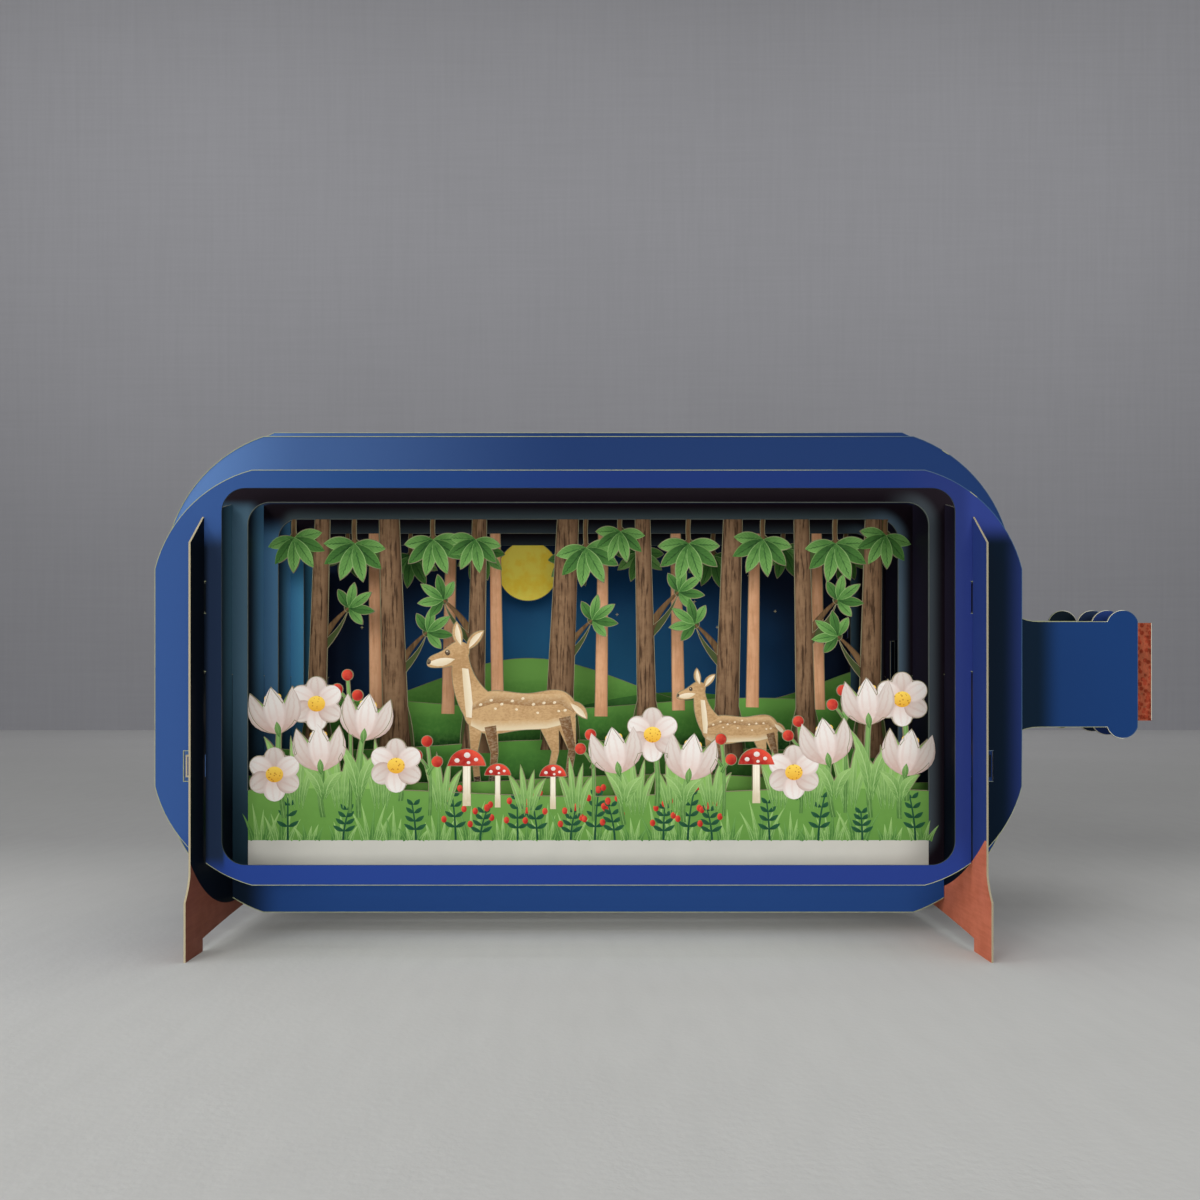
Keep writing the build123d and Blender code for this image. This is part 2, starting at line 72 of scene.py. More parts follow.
def srgb(red, green, blue):
    """Colour as it is seen on a screen, 0 to 255, as linear light."""
    shares = [channel / 255 for channel in (red, green, blue)]
    return (*[s / 12.92 if s <= 0.04045 else ((s + 0.055) / 1.055) ** 2.4 for s in shares], 1.0)


def add_node(kind, inputs, **settings):
    """Adds a shader node to the tree that feeds it, sets it up and fills its inputs.

    An input is a number, a colour or the output of another node, and one of them is an output.
    """
    feeds = [value for value in inputs.values() if isinstance(value, bpy.types.NodeSocket)]
    tree = feeds[0].id_data
    made = tree.nodes.new(kind)
    for name, value in settings.items():
        setattr(made, name, value)
    for key, value in inputs.items():
        if isinstance(value, bpy.types.NodeSocket):
            tree.links.new(value, made.inputs[key])
        else:
            made.inputs[key].default_value = value
    return made


def calc(operation, first, second=0.0, third=0.0):
    """One step of arithmetic on shader values."""
    inputs = {0: first, 1: second, 2: third}
    return add_node("ShaderNodeMath", inputs, operation=operation).outputs[0]


def times(first, second):
    """Product of two shader values."""
    return calc("MULTIPLY", first, second)


def mix(share, low, high):
    """Colour between two, by a share from 0 to 1."""
    inputs = {0: share, 6: low, 7: high}
    return add_node("ShaderNodeMix", inputs, data_type="RGBA").outputs[2]


def fade(value, start, end):
    """Share that rises smoothly from 0 at the start to 1 at the end."""
    inputs = {"Value": value, "From Min": start, "From Max": end}
    kind = "ShaderNodeMapRange"
    return add_node(kind, inputs, interpolation_type="SMOOTHSTEP").outputs[0]


def blend(value, start, end, low, high, most=1.0):
    """Colour that goes from low to high as the value goes from the start to the end.

    With a most below 1 it only goes that share of the way.
    """
    share = fade(value, start, end)
    if most < 1.0:
        share = times(share, most)
    return mix(share, low, high)


def layered(colour, steps):
    """Colour that turns into others in turn.

    A step is a value, where on it the step starts and ends, the colour that it leads to, and how
    much of the way it goes if that is less than all.
    """
    for value, start, end, further, *most in steps:
        colour = blend(value, start, end, colour, further, *most)
    return colour


def parts_of(vector):
    """The X, Y and Z of a vector."""
    return add_node("ShaderNodeSeparateXYZ", {0: vector}).outputs


def noise(place, scale, detail=2.0, roughness=0.5, stretch=None):
    """Cloudy value from 0 to 1 at a place, finer along the axes on which the stretch is larger."""
    if stretch:
        place = add_node("ShaderNodeMapping", {0: place, "Scale": stretch}).outputs[0]
    inputs = {"Vector": place, "Scale": scale, "Detail": detail, "Roughness": roughness}
    return add_node("ShaderNodeTexNoise", inputs).outputs["Fac"]


specular_level = 0.03


def new_material(name, roughness, paint, grain, strength, depth):
    """Material with a painted colour and a slight bump.

    The paint is a function that gets the place of a surface point, in metres, and returns a
    colour. The grain is the scale of the bump's noise, and its detail and roughness if given.
    """
    material = bpy.data.materials.new(name)
    material.use_nodes = True
    tree = material.node_tree
    shader = tree.nodes["Principled BSDF"]
    shader.inputs["Roughness"].default_value = roughness
    shader.inputs["Specular IOR Level"].default_value = specular_level
    place = tree.nodes.new("ShaderNodeTexCoord").outputs["Object"]
    tree.links.new(paint(place), shader.inputs["Base Color"])
    bump = {"Strength": strength, "Distance": depth, "Height": noise(place, *grain)}
    tree.links.new(add_node("ShaderNodeBump", bump).outputs[0], shader.inputs["Normal"])
    return material


wall_distance = 1.105
half_floor = 8.0
floor_near = srgb(199, 199, 196)
floor_middle = srgb(158, 158, 157)
floor_far = srgb(206, 206, 206)
wall_low = srgb(164, 164, 169)
wall_high = srgb(208, 208, 214)
black = srgb(0, 0, 0)
weave_along = (8.0, 8.0, 260.0)
weave_upright = (260.0, 60.0, 8.0)
weave_grain = (900.0,)
weave_bump = (0.12, 0.0004)
mottle_depth = 0.06
middle_reach = (0.85, 0.1)


def stage_sheet(name, near, far, axis, colour, steps, middle_shade, roughness):
    """Flat matt sheet of the setting, faintly mottled, that runs from its first colour to others.

    It reaches from a near to a far place along Y and Z. A step is where it starts, where it ends
    and the colour that it leads to; the steps are painted light and shade. The middle shade is how
    much darker the sheet is painted at the middle than at its sides, as painted shade.
    """

    def paint(place):
        weave = calc("ADD", noise(place, 1.0, 3.0, stretch=weave_along),
                     noise(place, 1.0, 3.0, stretch=weave_upright))
        cloud = calc("MULTIPLY_ADD", noise(place, 5.0, 4.0), 0.8, weave)
        parts = parts_of(place)
        plain = layered(colour, [(parts[axis], *step) for step in steps])
        across = calc("ABSOLUTE", parts["X"])
        plain = mix(times(fade(across, *middle_reach), middle_shade), plain, black)
        return blend(cloud, 0.9, 1.9, mix(mottle_depth, plain, black), plain)

    corners = [(-half_floor, *near), (half_floor, *near), (half_floor, *far), (-half_floor, *far)]
    mesh = bpy.data.meshes.new(name)
    mesh.from_pydata(corners, [], [(0, 1, 2, 3)])
    sheet = add_object(name, mesh)
    mesh.materials.append(new_material(name, roughness, paint, weave_grain, *weave_bump))


# The floor and the wall carry painted light: the floor is painted lighter in front and near the
# wall and darker between, and the wall lighter towards the top and darker in its middle.
wall_foot = (wall_distance, 0)
stage_sheet(
    "floor", (-half_floor, 0), wall_foot, "Y", floor_near,
    [(-0.06, 0.12, floor_middle), (0.15, 1.1, floor_far)], 0.0, 0.75)
stage_sheet(
    "wall", wall_foot, (wall_distance, half_floor), "Z", wall_low,
    [(0.05, 1.0, wall_high)], 0.18, 0.9)

# Each softbox: name, place, what it aims at, its width and height in metres, the angle in
# degrees over which it spreads its light, and its power in watts
softboxes = [
    ("key_softbox", (-0.70, -0.95, 0.62), (-0.02, 0.0, 0.06), (0.45, 0.45), 180, 4.2),
    ("front_softbox", (0.08, -1.10, 0.17), (0.0, 0.0, 0.06), (0.7, 0.3), 90, 1.75),
    ("left_softbox", (-1.10, -0.30, 0.30), (0.0, 0.0, 0.04), (0.5, 0.5), 90, 0.8),
    ("top_softbox", (0.0, 0.05, 1.15), (0.0, 0.05, 0.0), (1.2, 0.8), 180, 6.0),
]
for name, place, aim, sides, spread, power in softboxes:
    lamp = bpy.data.lights.new(name, "AREA")
    lamp.shape = "RECTANGLE"
    lamp.size, lamp.size_y = sides
    lamp.spread = math.radians(spread)
    lamp.energy = power
    softbox = add_object(name, lamp)
    softbox.location = place
    gaze = Vector(aim) - Vector(place)
    softbox.rotation_euler = gaze.to_track_quat("-Z", "Y").to_euler()

world_light = 0.24
world = bpy.data.worlds.new("soft_world")
world.use_nodes = True
bpy.context.scene.world = world
far_grey = srgb(140, 140, 144)
lit = (world_light, world_light, world_light, 1.0)
seen = world.node_tree.nodes.new("ShaderNodeLightPath").outputs["Is Camera Ray"]
sky = world.node_tree.nodes["Background"]
world.node_tree.links.new(mix(seen, lit, far_grey), sky.inputs["Color"])

# Back panel: the rear slice, closed, of white card printed on its inside with a night sky that
# glows blue in the middle. Its rear is bare card to write on. It hooks over the side panels.
mm = 0.001
body_x = (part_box("back_panel")[0].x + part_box("back_panel")[1].x) / 2 / mm
card_white = srgb(226, 223, 214)
cut_edge = srgb(188, 180, 152)
cut_shade = srgb(146, 130, 100)
# Painted shade on cut edges deep inside the body
edge_in_shade = srgb(70, 78, 78)
fibre_grain = (5200.0, 3.0, 0.7)
fibre_depth = 0.00003
card_bump = 0.10
face_sharpness = 0.5


def dimmed(colour, share):
    """Colour with a share of its light."""
    return (*[share * channel for channel in colour[:3]], 1.0)


card_cloud = dimmed(card_white, 0.95)


def facing(place, axis):
    """How far the surface at a place faces along an axis, from -1 to 1."""
    geometry = place.id_data.nodes.new("ShaderNodeNewGeometry")
    return parts_of(geometry.outputs["True Normal"])[axis]


def printed_card(name, paint, axis="Y", both_sides=False, roughness=0.42, flap=None, shade=None):
    """Card with print on its front, bare card on its rear and pale fibrous cut edges.

    The paint is a function that gets the place and returns a colour. The flap is one that returns
    a share, for print on faces that are turned another way, and shade is one that returns the
    share of painted shade on a cut edge.
    """

    def surface(place):
        turned = facing(place, axis)
        edge = mix(noise(place, *fibre_grain), cut_shade, cut_edge)
        if shade:
            edge = mix(shade(place), edge, edge_in_shade)
        if both_sides:
            on_face = calc("GREATER_THAN", calc("ABSOLUTE", turned), face_sharpness)
            if flap:
                on_face = calc("MAXIMUM", on_face, flap(place))
            return mix(on_face, edge, paint(place))
        on_front = calc("LESS_THAN", turned, -face_sharpness)
        on_rear = calc("GREATER_THAN", turned, face_sharpness)
        bare = mix(noise(place, 90.0, 3.0), card_cloud, card_white)
        return mix(on_rear, mix(on_front, edge, paint(place)), bare)

    return new_material(name, roughness, surface, fibre_grain, card_bump, fibre_depth)


def finish_node(node, name, paint, **look):
    """Gives a piece of the frame its printed finish."""
    material = printed_card(name, paint, **look)
    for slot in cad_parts[node].material_slots:
        slot.material = material


def axes_of(place):
    """The place along X from the middle of the body, and the height, both in millimetres."""
    x, _, z = parts_of(place)
    return calc("MULTIPLY_ADD", x, 1 / mm, -body_x), times(z, 1 / mm)


def squares(first, second):
    """Sum of the squares of two shader values."""
    return calc("ADD", times(first, first), times(second, second))


night = srgb(24, 34, 54)
night_blue = srgb(28, 78, 124)
night_teal = srgb(38, 106, 146)


def paint_sky(place):
    """Dark night sky with a blue glow low in the middle."""
    along, height = axes_of(place)
    above = calc("DIVIDE", calc("SUBTRACT", height, 60.0), 36.0)
    off_middle = squares(calc("DIVIDE", along, 70.0), above)
    reach = calc("ADD", off_middle, times(noise(place, 42.0, 4.0), 0.5))
    return layered(night_teal, [(reach, 0.1, 0.7, night_blue), (reach, 0.5, 1.6, night)])


finish_node("back_panel", "sky_print", paint_sky)

ink_roughness = 0.5
ink_bump = 0.08
ink_lift = 0.012
ink_step = 0.0002


def new_ink(name, paint):
    """Printed colour that knows how far across and along its shape each point lies.

    The paint gets the place, and the shares across (-1 to 1) and along (0 to 1).
    """

    def surface(place):
        marks = parts_of(place.id_data.nodes.new("ShaderNodeUVMap").outputs["UV"])
        return paint(place, calc("MULTIPLY_ADD", marks["X"], 2.0, -1.0), marks["Y"])

    return new_material(name, ink_roughness, surface, fibre_grain, ink_bump, fibre_depth)


def cut_outline(node):
    """Outline of the front of a slice, as edges, and the way into the card at each corner.

    Places are in millimetres, along X from the middle of the body and up.
    """
    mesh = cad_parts[node].data
    uses = {}
    for polygon in mesh.polygons:
        if polygon.normal.y < -face_sharpness:
            corners = [mesh.vertices[number].co for number in polygon.vertices]
            corners = [(round(c.x / mm - body_x, 3), round(c.z / mm, 3)) for c in corners]
            middle = [sum(c[axis] for c in corners) / len(corners) for axis in (0, 1)]
            for first, second in zip(corners, corners[1:] + corners[:1]):
                uses.setdefault(frozenset((first, second)), []).append((first, second, middle))
    edges = []
    ways = {}
    for found in uses.values():
        first, second, middle = found[0]
        run = (second[0] - first[0], second[1] - first[1])
        length = math.hypot(*run)
        if len(found) > 1 or length == 0:
            continue
        way = (-run[1] / length, run[0] / length)
        if way[0] * (middle[0] - first[0]) + way[1] * (middle[1] - first[1]) < 0:
            way = (-way[0], -way[1])
        edges.append((first, second))
        for corner in (first, second):
            total = ways.get(corner, (0.0, 0.0))
            ways[corner] = (total[0] + way[0], total[1] + way[1])
    return edges, ways


panel_reach = 80.8
slit_half = 0.5
slit_margin = 0.05
window_half = 77.0
window_base = 17.85
window_top = 97.0
window_radius = 5.0
window_middle_z = (window_base + window_top) / 2


def beyond_window(along, height, spread=0.0):
    """How far outside the rounded window a place is, in millimetres; less than 0 inside it.

    With a spread, the window counts as wider at its sides by that much, and as higher by half.
    """
    half_height = (window_top - window_base + spread) / 2
    off_z = calc("ABSOLUTE", calc("SUBTRACT", height, window_middle_z))
    run = calc("SUBTRACT", calc("ABSOLUTE", along), window_half + spread - window_radius)
    rise = calc("SUBTRACT", off_z, half_height - window_radius)
    off_corner = squares(calc("MAXIMUM", run, 0.0), calc("MAXIMUM", rise, 0.0))
    return calc("SUBTRACT", calc("SQRT", off_corner), window_radius)


rim_width = 0.13
# Where the rim's tone changes, in millimetres, each as the start and the end of the change
slit_sides = (0.9, 0.6)
neck_start = (98.0, 101.0)
neck_end = (134.0, 132.5)
lip_start = (127.5, 129.5)
past_mouth = (144.0, 145.0)
shaded_side = (30.0, 84.0)
shaded_height = (20.0, 50.0)
window_edge = (-0.4, -0.1)
outer_edge = (1.5, 2.5)
# Two tones of the bare rim in each of its places: on the outside, on the right side in painted
# shade, at the lips of the neck with a painted highlight, on the plants, and along the window in
# painted shade
rim_tones = [((132, 140, 112), (178, 180, 140)), ((46, 74, 112), (70, 98, 126)),
             ((190, 190, 168), (226, 226, 206)), ((112, 108, 84), (156, 150, 116)),
             ((84, 92, 90), (118, 124, 116))]


def paint_rim(place, across, along):
    """Fine line of bare card along the cut, pale on the left and fading to the right."""
    x, height = axes_of(place)
    fibre = noise(place, 500.0, 3.0)
    bare, shaded, lip, plants, window = [
        mix(fibre, srgb(*low), srgb(*high)) for low, high in rim_tones]
    # Painted shade on the right side and along the window, and a painted highlight at the lips
    off_panel = calc("ABSOLUTE", calc("SUBTRACT", x, panel_reach))
    at_neck = times(fade(x, *neck_start), fade(x, *neck_end))
    still_bare = calc("MAXIMUM", fade(off_panel, *slit_sides), at_neck)
    still_bare = calc("MAXIMUM", still_bare, fade(x, *past_mouth))
    on_right = times(fade(x, *shaded_side), fade(height, *shaded_height))
    on_right = times(on_right, calc("SUBTRACT", 1.0, still_bare))
    outer = mix(on_right, blend(x, *lip_start, bare, lip), shaded)
    beyond = beyond_window(x, height)
    inner = blend(beyond, *window_edge, plants, window)
    return blend(beyond, *outer_edge, inner, outer)


rim_ink = new_ink("rim_ink", paint_rim)


def along_slit(first, second):
    """Whether an edge is a long side of a slit for a side panel."""
    upright = abs(first[0] - second[0]) < 0.01
    return upright and abs(abs(first[0]) - panel_reach) < slit_half + slit_margin


def corners_of(pair, depths):
    """Four corners, in metres: two places at the first depth and the same two at the second."""
    return [((body_x + x) * mm, y, z * mm) for y in depths for x, z in pair]


def walls(low, high):
    """Four faces between two rows of four corners, by the numbers of the rows' first corners."""
    return [(low + one, low + two, high + two, high + one)
            for one, two in ((0, 1), (3, 2), (2, 0), (1, 3))]


def rim_along(node, bare, depths, first):
    """Points and faces of a rim along the cut outline; its points are numbered from the first.

    It leaves out each edge for which the bare function says so.
    """
    edges, ways = cut_outline(node)
    points = []
    faces = []
    number_of = {}
    for ends in edges:
        if bare(*ends):
            continue
        for corner in ends:
            if corner not in number_of:
                way = ways[corner]
                reach = 2 * rim_width / max(way[0] ** 2 + way[1] ** 2, 1.0)
                inner = (corner[0] + way[0] * reach, corner[1] + way[1] * reach)
                number_of[corner] = first + len(points)
                points += corners_of((corner, inner), depths)
        faces += walls(number_of[ends[0]], number_of[ends[1]])
    return points, faces


def lay_ink(name, node, shapes, bare=along_slit):
    """Prints shapes on the front of a slice, the later ones over the earlier ones.

    A shape is its left outline, its right outline and its ink. The outlines are points in
    millimetres, along X from the middle of the body and up, as many on each side. The rim lies
    over them along the cut outline.
    """
    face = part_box(node)[0].y
    points = []
    faces = []
    marks = []
    ink_of_face = []
    inks = [rim_ink]
    for order, (left, right, ink) in enumerate(shapes):
        if ink not in inks:
            inks.append(ink)
        front = face - (ink_lift + order * ink_step) * mm
        first = len(points)
        last = first + 4 * (len(left) - 1)
        for pair in zip(left, right):
            points += corners_of(pair, (front, face))
        own = []
        for low in range(first, last, 4):
            own += walls(low, low + 4)
        own += [(first + 2, first + 3, first + 1, first), (last, last + 1, last + 3, last + 2)]
        faces += own
        ink_of_face += [inks.index(ink)] * len(own)
        for corners in own:
            for corner in corners:
                row, side = divmod(corner - first, 4)
                marks.append((side % 2, row / (len(left) - 1)))
    front = face - (2 * ink_lift + len(shapes) * ink_step) * mm
    rim_points, rim_faces = rim_along(node, bare, (front, face), len(points))
    ink_of_face += [0] * len(rim_faces)
    marks += [(0.0, 0.0)] * (4 * len(rim_faces))
    mesh = bpy.data.meshes.new(name)
    mesh.from_pydata(points + rim_points, [], faces + rim_faces)
    layer = mesh.uv_layers.new(name="across_along")
    for corner, mark in zip(layer.data, marks):
        corner.uv = mark
    for ink in inks:
        mesh.materials.append(ink)
    mesh.polygons.foreach_set("material_index", ink_of_face)
    mesh.update()
    piece = add_object(name, mesh)
    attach(piece, "root")


def strand(root, tip, halves, bend, ink):
    """Shape from a root to a tip that bends to its left by a sagitta.

    The halves are half its width in each of its rows.
    """
    (x0, z0), (x1, z1) = root, tip
    length = math.hypot(x1 - x0, z1 - z0)
    aside = ((z0 - z1) / length, (x1 - x0) / length)
    left = []
    right = []
    for row, half in enumerate(halves):
        share = row / (len(halves) - 1)
        swell = 4 * share * (1 - share)
        x = x0 + (x1 - x0) * share + aside[0] * bend * swell
        z = z0 + (z1 - z0) * share + aside[1] * bend * swell
        left.append((x + aside[0] * half, z + aside[1] * half))
        right.append((x - aside[0] * half, z - aside[1] * half))
    return left, right, ink


tip_half = 0.03
oval_end = 0.02


def blade(root, tip, width, bend, ink, rows=8):
    """Leaf, petal or blade of grass, widest in its middle."""
    shares = [row / rows for row in range(rows + 1)]
    halves = [max(width / 2 * 4 * share * (1 - share), tip_half) for share in shares]
    return strand(root, tip, halves, bend, ink)


def stalk(root, tip, foot_width, top_width, bend, ink, rows=8):
    """Stem, twig or trunk, as wide as given at its foot and top."""
    halves = [(foot_width + (top_width - foot_width) * row / rows) / 2 for row in range(rows + 1)]
    return strand(root, tip, halves, bend, ink)


def oval(centre, half_width, half_height, ink, turn=0.0, rows=10):
    """Disc or oval, turned by an angle in degrees."""
    left = []
    right = []
    cosine = math.cos(math.radians(turn))
    sine = math.sin(math.radians(turn))
    for row in range(rows + 1):
        angle = math.pi * (oval_end + (1 - 2 * oval_end) * row / rows)
        up = -half_height * math.cos(angle)
        for side, outline in ((-1, left), (1, right)):
            out = side * half_width * math.sin(angle)
            x = centre[0] + out * cosine - up * sine
            outline.append((x, centre[1] + out * sine + up * cosine))
    return left, right, ink


def paint_star(place, across, along):
    """Pale gold that is faintly uneven."""
    return mix(noise(place, 700.0), srgb(200, 184, 132), srgb(226, 214, 170))


star_ink = new_ink("star_ink", paint_star)
star_width = 0.22
# Stars: place along X, height and size
stars = [(-66, 88, 0.8), (-44, 80, 0.6), (-12, 90, 0.7), (9, 78, 0.5), (19, 89, 0.8), (33, 82, 0.6),
         (50, 90, 0.7), (58, 79, 0.5), (-70, 74, 0.5), (40, 74, 0.5), (-3, 72, 0.4), (68, 86, 0.6)]
sky_shapes = []
for x, z, size in stars:
    for turn in (0, 90):
        sky_shapes.append(oval((x, z), size * star_width, size, star_ink, turn, 4))
lay_ink("sky_stars", "back_panel", sky_shapes)

# Hill layer: the fifth slice. Its window holds a green hill, and a yellow moon hangs from the
# top of the window, die-cut with the sheet. The margins of the slice are printed dark blue, with
# painted shade and a painted glow along the window.
# Near black of the margins: dark print with painted shade
margin_black = srgb(25, 18, 25)
# Outer blue: a painted sheen, lightest on the left, that fades into the plain blue
frame_sheen = srgb(86, 120, 172)
frame_sheen_fade = srgb(60, 88, 136)
frame_blue = srgb(28, 53, 100)
frame_deep = srgb(32, 64, 120)
# Painted shadow beside the left panel's foot, and painted shade at the root of the neck
foot_shade = srgb(12, 24, 38)
neck_root_shade = srgb(10, 30, 48)
seen_spread = 6.2


def round_window(place):
    """Share of painted shade on the cut edges: 1 along the window and past it, 0 on the plants."""
    return fade(beyond_window(*axes_of(place)), -0.3, -0.1)


def finish_slice(node, name, plants, lit_edge, shaded_edge, glow, top_glow, top_shade_from, neck):
    """Finish of a slice with a window, along which its margin is painted with a little glow.

    The margin is dark print with painted shade: blue-green on the left, painted lighter along the
    window and darker farther out and lower down, and near black on the right and above, with a
    painted glow along the window. The blue of the outer print goes round the body's edge and the
    neck, and inside the window is a plain colour that lies under the plants.
    """

    def paint(place):
        along, height = axes_of(place)
        beyond = beyond_window(along, height)
        left = layered(lit_edge, [
            (beyond, 0.0, 7.0, shaded_edge), (height, 62.0, 18.0, dimmed(shaded_edge, 0.35)),
            (height, top_shade_from, window_top + 1.0, margin_black)])
        right = blend(beyond, 0.0, 3.4, blend(along, 66.0, 77.0, top_glow, glow), margin_black)
        margin = blend(along, -77.5, -74.0, left, right)
        blue = layered(frame_sheen, [
            (along, -92.0, -62.0, frame_sheen_fade), (along, -72.0, 0.0, frame_blue),
            (height, 50.0, 10.0, frame_deep)])
        beside = times(fade(along, -panel_reach - 0.1, -panel_reach), fade(along, -69.0, -78.0))
        blue = mix(times(beside, fade(height, 17.0, 14.0)), blue, foot_shade)
        blue = layered(blue, [(along, 99.0, 101.0, neck_root_shade), (along, 111.5, 118.0, neck)])
        outer = fade(beyond_window(along, height, seen_spread), 0.5, 2.0)
        return mix(calc("LESS_THAN", beyond, 0.02), mix(outer, margin, blue), plants)

    finish_node(node, name, paint, shade=round_window)


ground_waves = 4.2
ground_rows = 48


def rolling_height(x, ground):
    """Height of a rolling ground line at a place along X."""
    height, sway, phase = ground
    return height + sway * math.sin(phase + ground_waves * (x + window_half) / window_half)


def ground_shape(ground, low, ink, lower=0.0, reach=window_half):
    """Ground from a low line up to its rolling edge, or as much below the edge as given."""
    places = [reach * (2 * step / ground_rows - 1) for step in range(ground_rows + 1)]
    top = [(x, rolling_height(x, ground) - lower) for x in places]
    return top, [(x, low) for x in places], ink


def ground_ink(name, top, middle, deep, low, high):
    """Ink of a ground: light at its edge and deeper below, brushed along its length."""
    top, middle, deep = srgb(*top), srgb(*middle), srgb(*deep)

    def paint(place, across, along):
        height = axes_of(place)[1]
        brush = noise(place, 2.2, 4.0, 0.6, (18.0, 1.0, 90.0))
        moved = calc("ADD", height, times(brush, 0.45 * (high - low)))
        return layered(deep, [
            (moved, low, (low + high) / 2, middle), (moved, (low + high) / 2, high + 3, top),
            (noise(place, 900.0), 0.35, 0.75, top, 0.22)])

    return new_ink(name, paint)


finish_slice(
    "hill_layer", "hill_print", srgb(214, 186, 80), srgb(70, 144, 178), srgb(56, 110, 148),
    srgb(74, 102, 118), srgb(50, 58, 64), 90.0, frame_blue)
hill_ink = ground_ink("hill_ink", (122, 178, 84), (84, 140, 60), (46, 92, 44), 46.0, 62.0)
lower_hill_ink = ground_ink("hill_shade_ink", (84, 140, 60), (46, 92, 44), (46, 92, 44), 44.0, 58.0)
hill_shapes = [ground_shape((57.0, 7.0, 4.6), window_base, hill_ink),
               ground_shape((50.0, 4.0, 2.2), window_base, lower_hill_ink)]

moon_place = (-17.6, window_top - 7.5)
moon_radius = 8.8
moon_light = srgb(255, 234, 96)
moon_gold = srgb(252, 216, 68)
moon_rows = 24
moon_foot = 0.02


def paint_moon(place, across, along):
    """Warm yellow with soft patches, deeper at the rim."""
    return layered(moon_light, [
        (noise(place, 260.0, 4.0), 0.4, 0.65, moon_gold),
        (calc("ABSOLUTE", across), 0.75, 1.0, moon_gold, 0.6)])


moon = ([], [])
top_angle = math.acos((moon_place[1] - window_top) / moon_radius)
for row in range(moon_rows + 1):
    angle = moon_foot + (top_angle - moon_foot) * row / moon_rows
    for side, outline in zip((-1, 1), moon):
        out = side * moon_radius * math.sin(angle)
        outline.append((moon_place[0] + out, moon_place[1] - moon_radius * math.cos(angle)))
hill_shapes.append((*moon, new_ink("moon_ink", paint_moon)))
lay_ink("hill_and_moon", "hill_layer", hill_shapes)

# Far trees layer: the fourth slice. Thin tan trunks stand on a green ground, and fans of leaves
# hang from the top of the window. The slice also carries the rear of the bottle's neck.
far_ground = (51.0, 1.5, 1.2)
rooting = 2.6
far_trunks = [(-73, 0.8), (-57.5, -0.6), (-38, 0.9), (-24.5, -0.7), (3.5, 0.6), (24.5, -0.8),
              (44.5, 0.7), (62.5, -0.6)]
far_trunk_width = 3.6
trunk_taper = 0.8
far_fans = [(-65, 4, -90, 8.5), (-48, 6, -80, 9.0), (-29, 4.5, -95, 8.5), (-4, 6, -85, 9.0),
            (14, 5, -90, 8.5), (34, 6, -95, 9.0), (53, 4.0, -85, 8.5), (70, 5, -90, 8.0)]
fan_spread = 170.0
fan_rounding = 0.22
fan_leaves = 6
leaf_fullness = 0.36
twig_width = 1.2
print_inset = 0.04


def bark_ink(name, light, middle, dark, lines):
    """Ink of a trunk: long uneven streaks, a lit left side and a darker right side."""
    light, middle, dark = srgb(*light), srgb(*middle), srgb(*dark)

    def paint(place, across, along):
        streaks = noise(place, 1500.0, 3.0, 0.6, (1.0, 1.0, 0.09))
        grain = noise(place, 420.0, 4.0, 0.65)
        tone = calc("ADD", times(streaks, 0.6), times(grain, 0.4))
        return layered(middle, [
            (tone, 0.36, 0.62, light), (across, 0.1, 1.0, middle),
            (calc("ABSOLUTE", across), 0.72, 1.0, dark, 0.55),
            (streaks, 0.40 + 0.06 * lines, 0.30 + 0.06 * lines, dark, 0.75 * lines)])

    return new_ink(name, paint)


def leaf_ink(name, root_green, tip_green, rib, rim_green):
    """Ink of a leaf: deeper at its root, with a rib, side veins and a paler rim."""
    root_green, tip_green = srgb(*root_green), srgb(*tip_green)
    rib, rim_green = srgb(*rib), srgb(*rim_green)

    def paint(place, across, along):
        off_rib = calc("ABSOLUTE", across)
        slant = calc("MULTIPLY_ADD", off_rib, -0.22, along)
        wave = calc("SINE", times(slant, 58.0))
        return layered(root_green, [
            (along, 0.0, 0.9, tip_green), (across, -0.15, 0.15, root_green, 0.3),
            (wave, 0.72, 1.0, rib, 0.32), (off_rib, 0.14, 0.05, rib, 0.7),
            (noise(place, 750.0, 3.0), 0.4, 0.7, tip_green, 0.3),
            (off_rib, 0.8, 0.97, rim_green, 0.7)])

    return new_ink(name, paint)


tan_bark = bark_ink("tan_bark_ink", (246, 190, 146), (230, 168, 124), (186, 126, 90), 0.2)
twig_ink = bark_ink("twig_ink", (120, 92, 62), (92, 70, 46), (58, 44, 30), 0.5)
deep_leaf = leaf_ink("deep_leaf_ink", (44, 84, 38), (82, 132, 62), (30, 62, 32), (126, 166, 92))
bright_leaf = leaf_ink(
    "bright_leaf_ink", (70, 120, 54), (122, 172, 92), (40, 84, 40), (164, 200, 128))


def leaf_fan(hub, facing, count, length, inks):
    """Oval leaves that spread from one point of a twig, the outer ones first."""
    spread = [(index, 2 * index / (count - 1) - 1) for index in range(count)]
    shapes = []
    for index, share in sorted(spread, key=lambda leaf: -abs(leaf[1])):
        angle = math.radians(facing + fan_spread / 2 * share)
        reach = length * (1 - fan_rounding * share * share) - print_inset
        tip = (hub[0] + reach * math.cos(angle), hub[1] + reach * math.sin(angle))
        width = length * leaf_fullness - 2 * print_inset
        shapes.append(blade(hub, tip, width, 0, inks[index % len(inks)]))
    return shapes


def reshaped(shapes, move):
    """Shapes with each point of their outlines moved by a function."""
    return [([move(*point) for point in left], [move(*point) for point in right], ink)
            for left, right, ink in shapes]


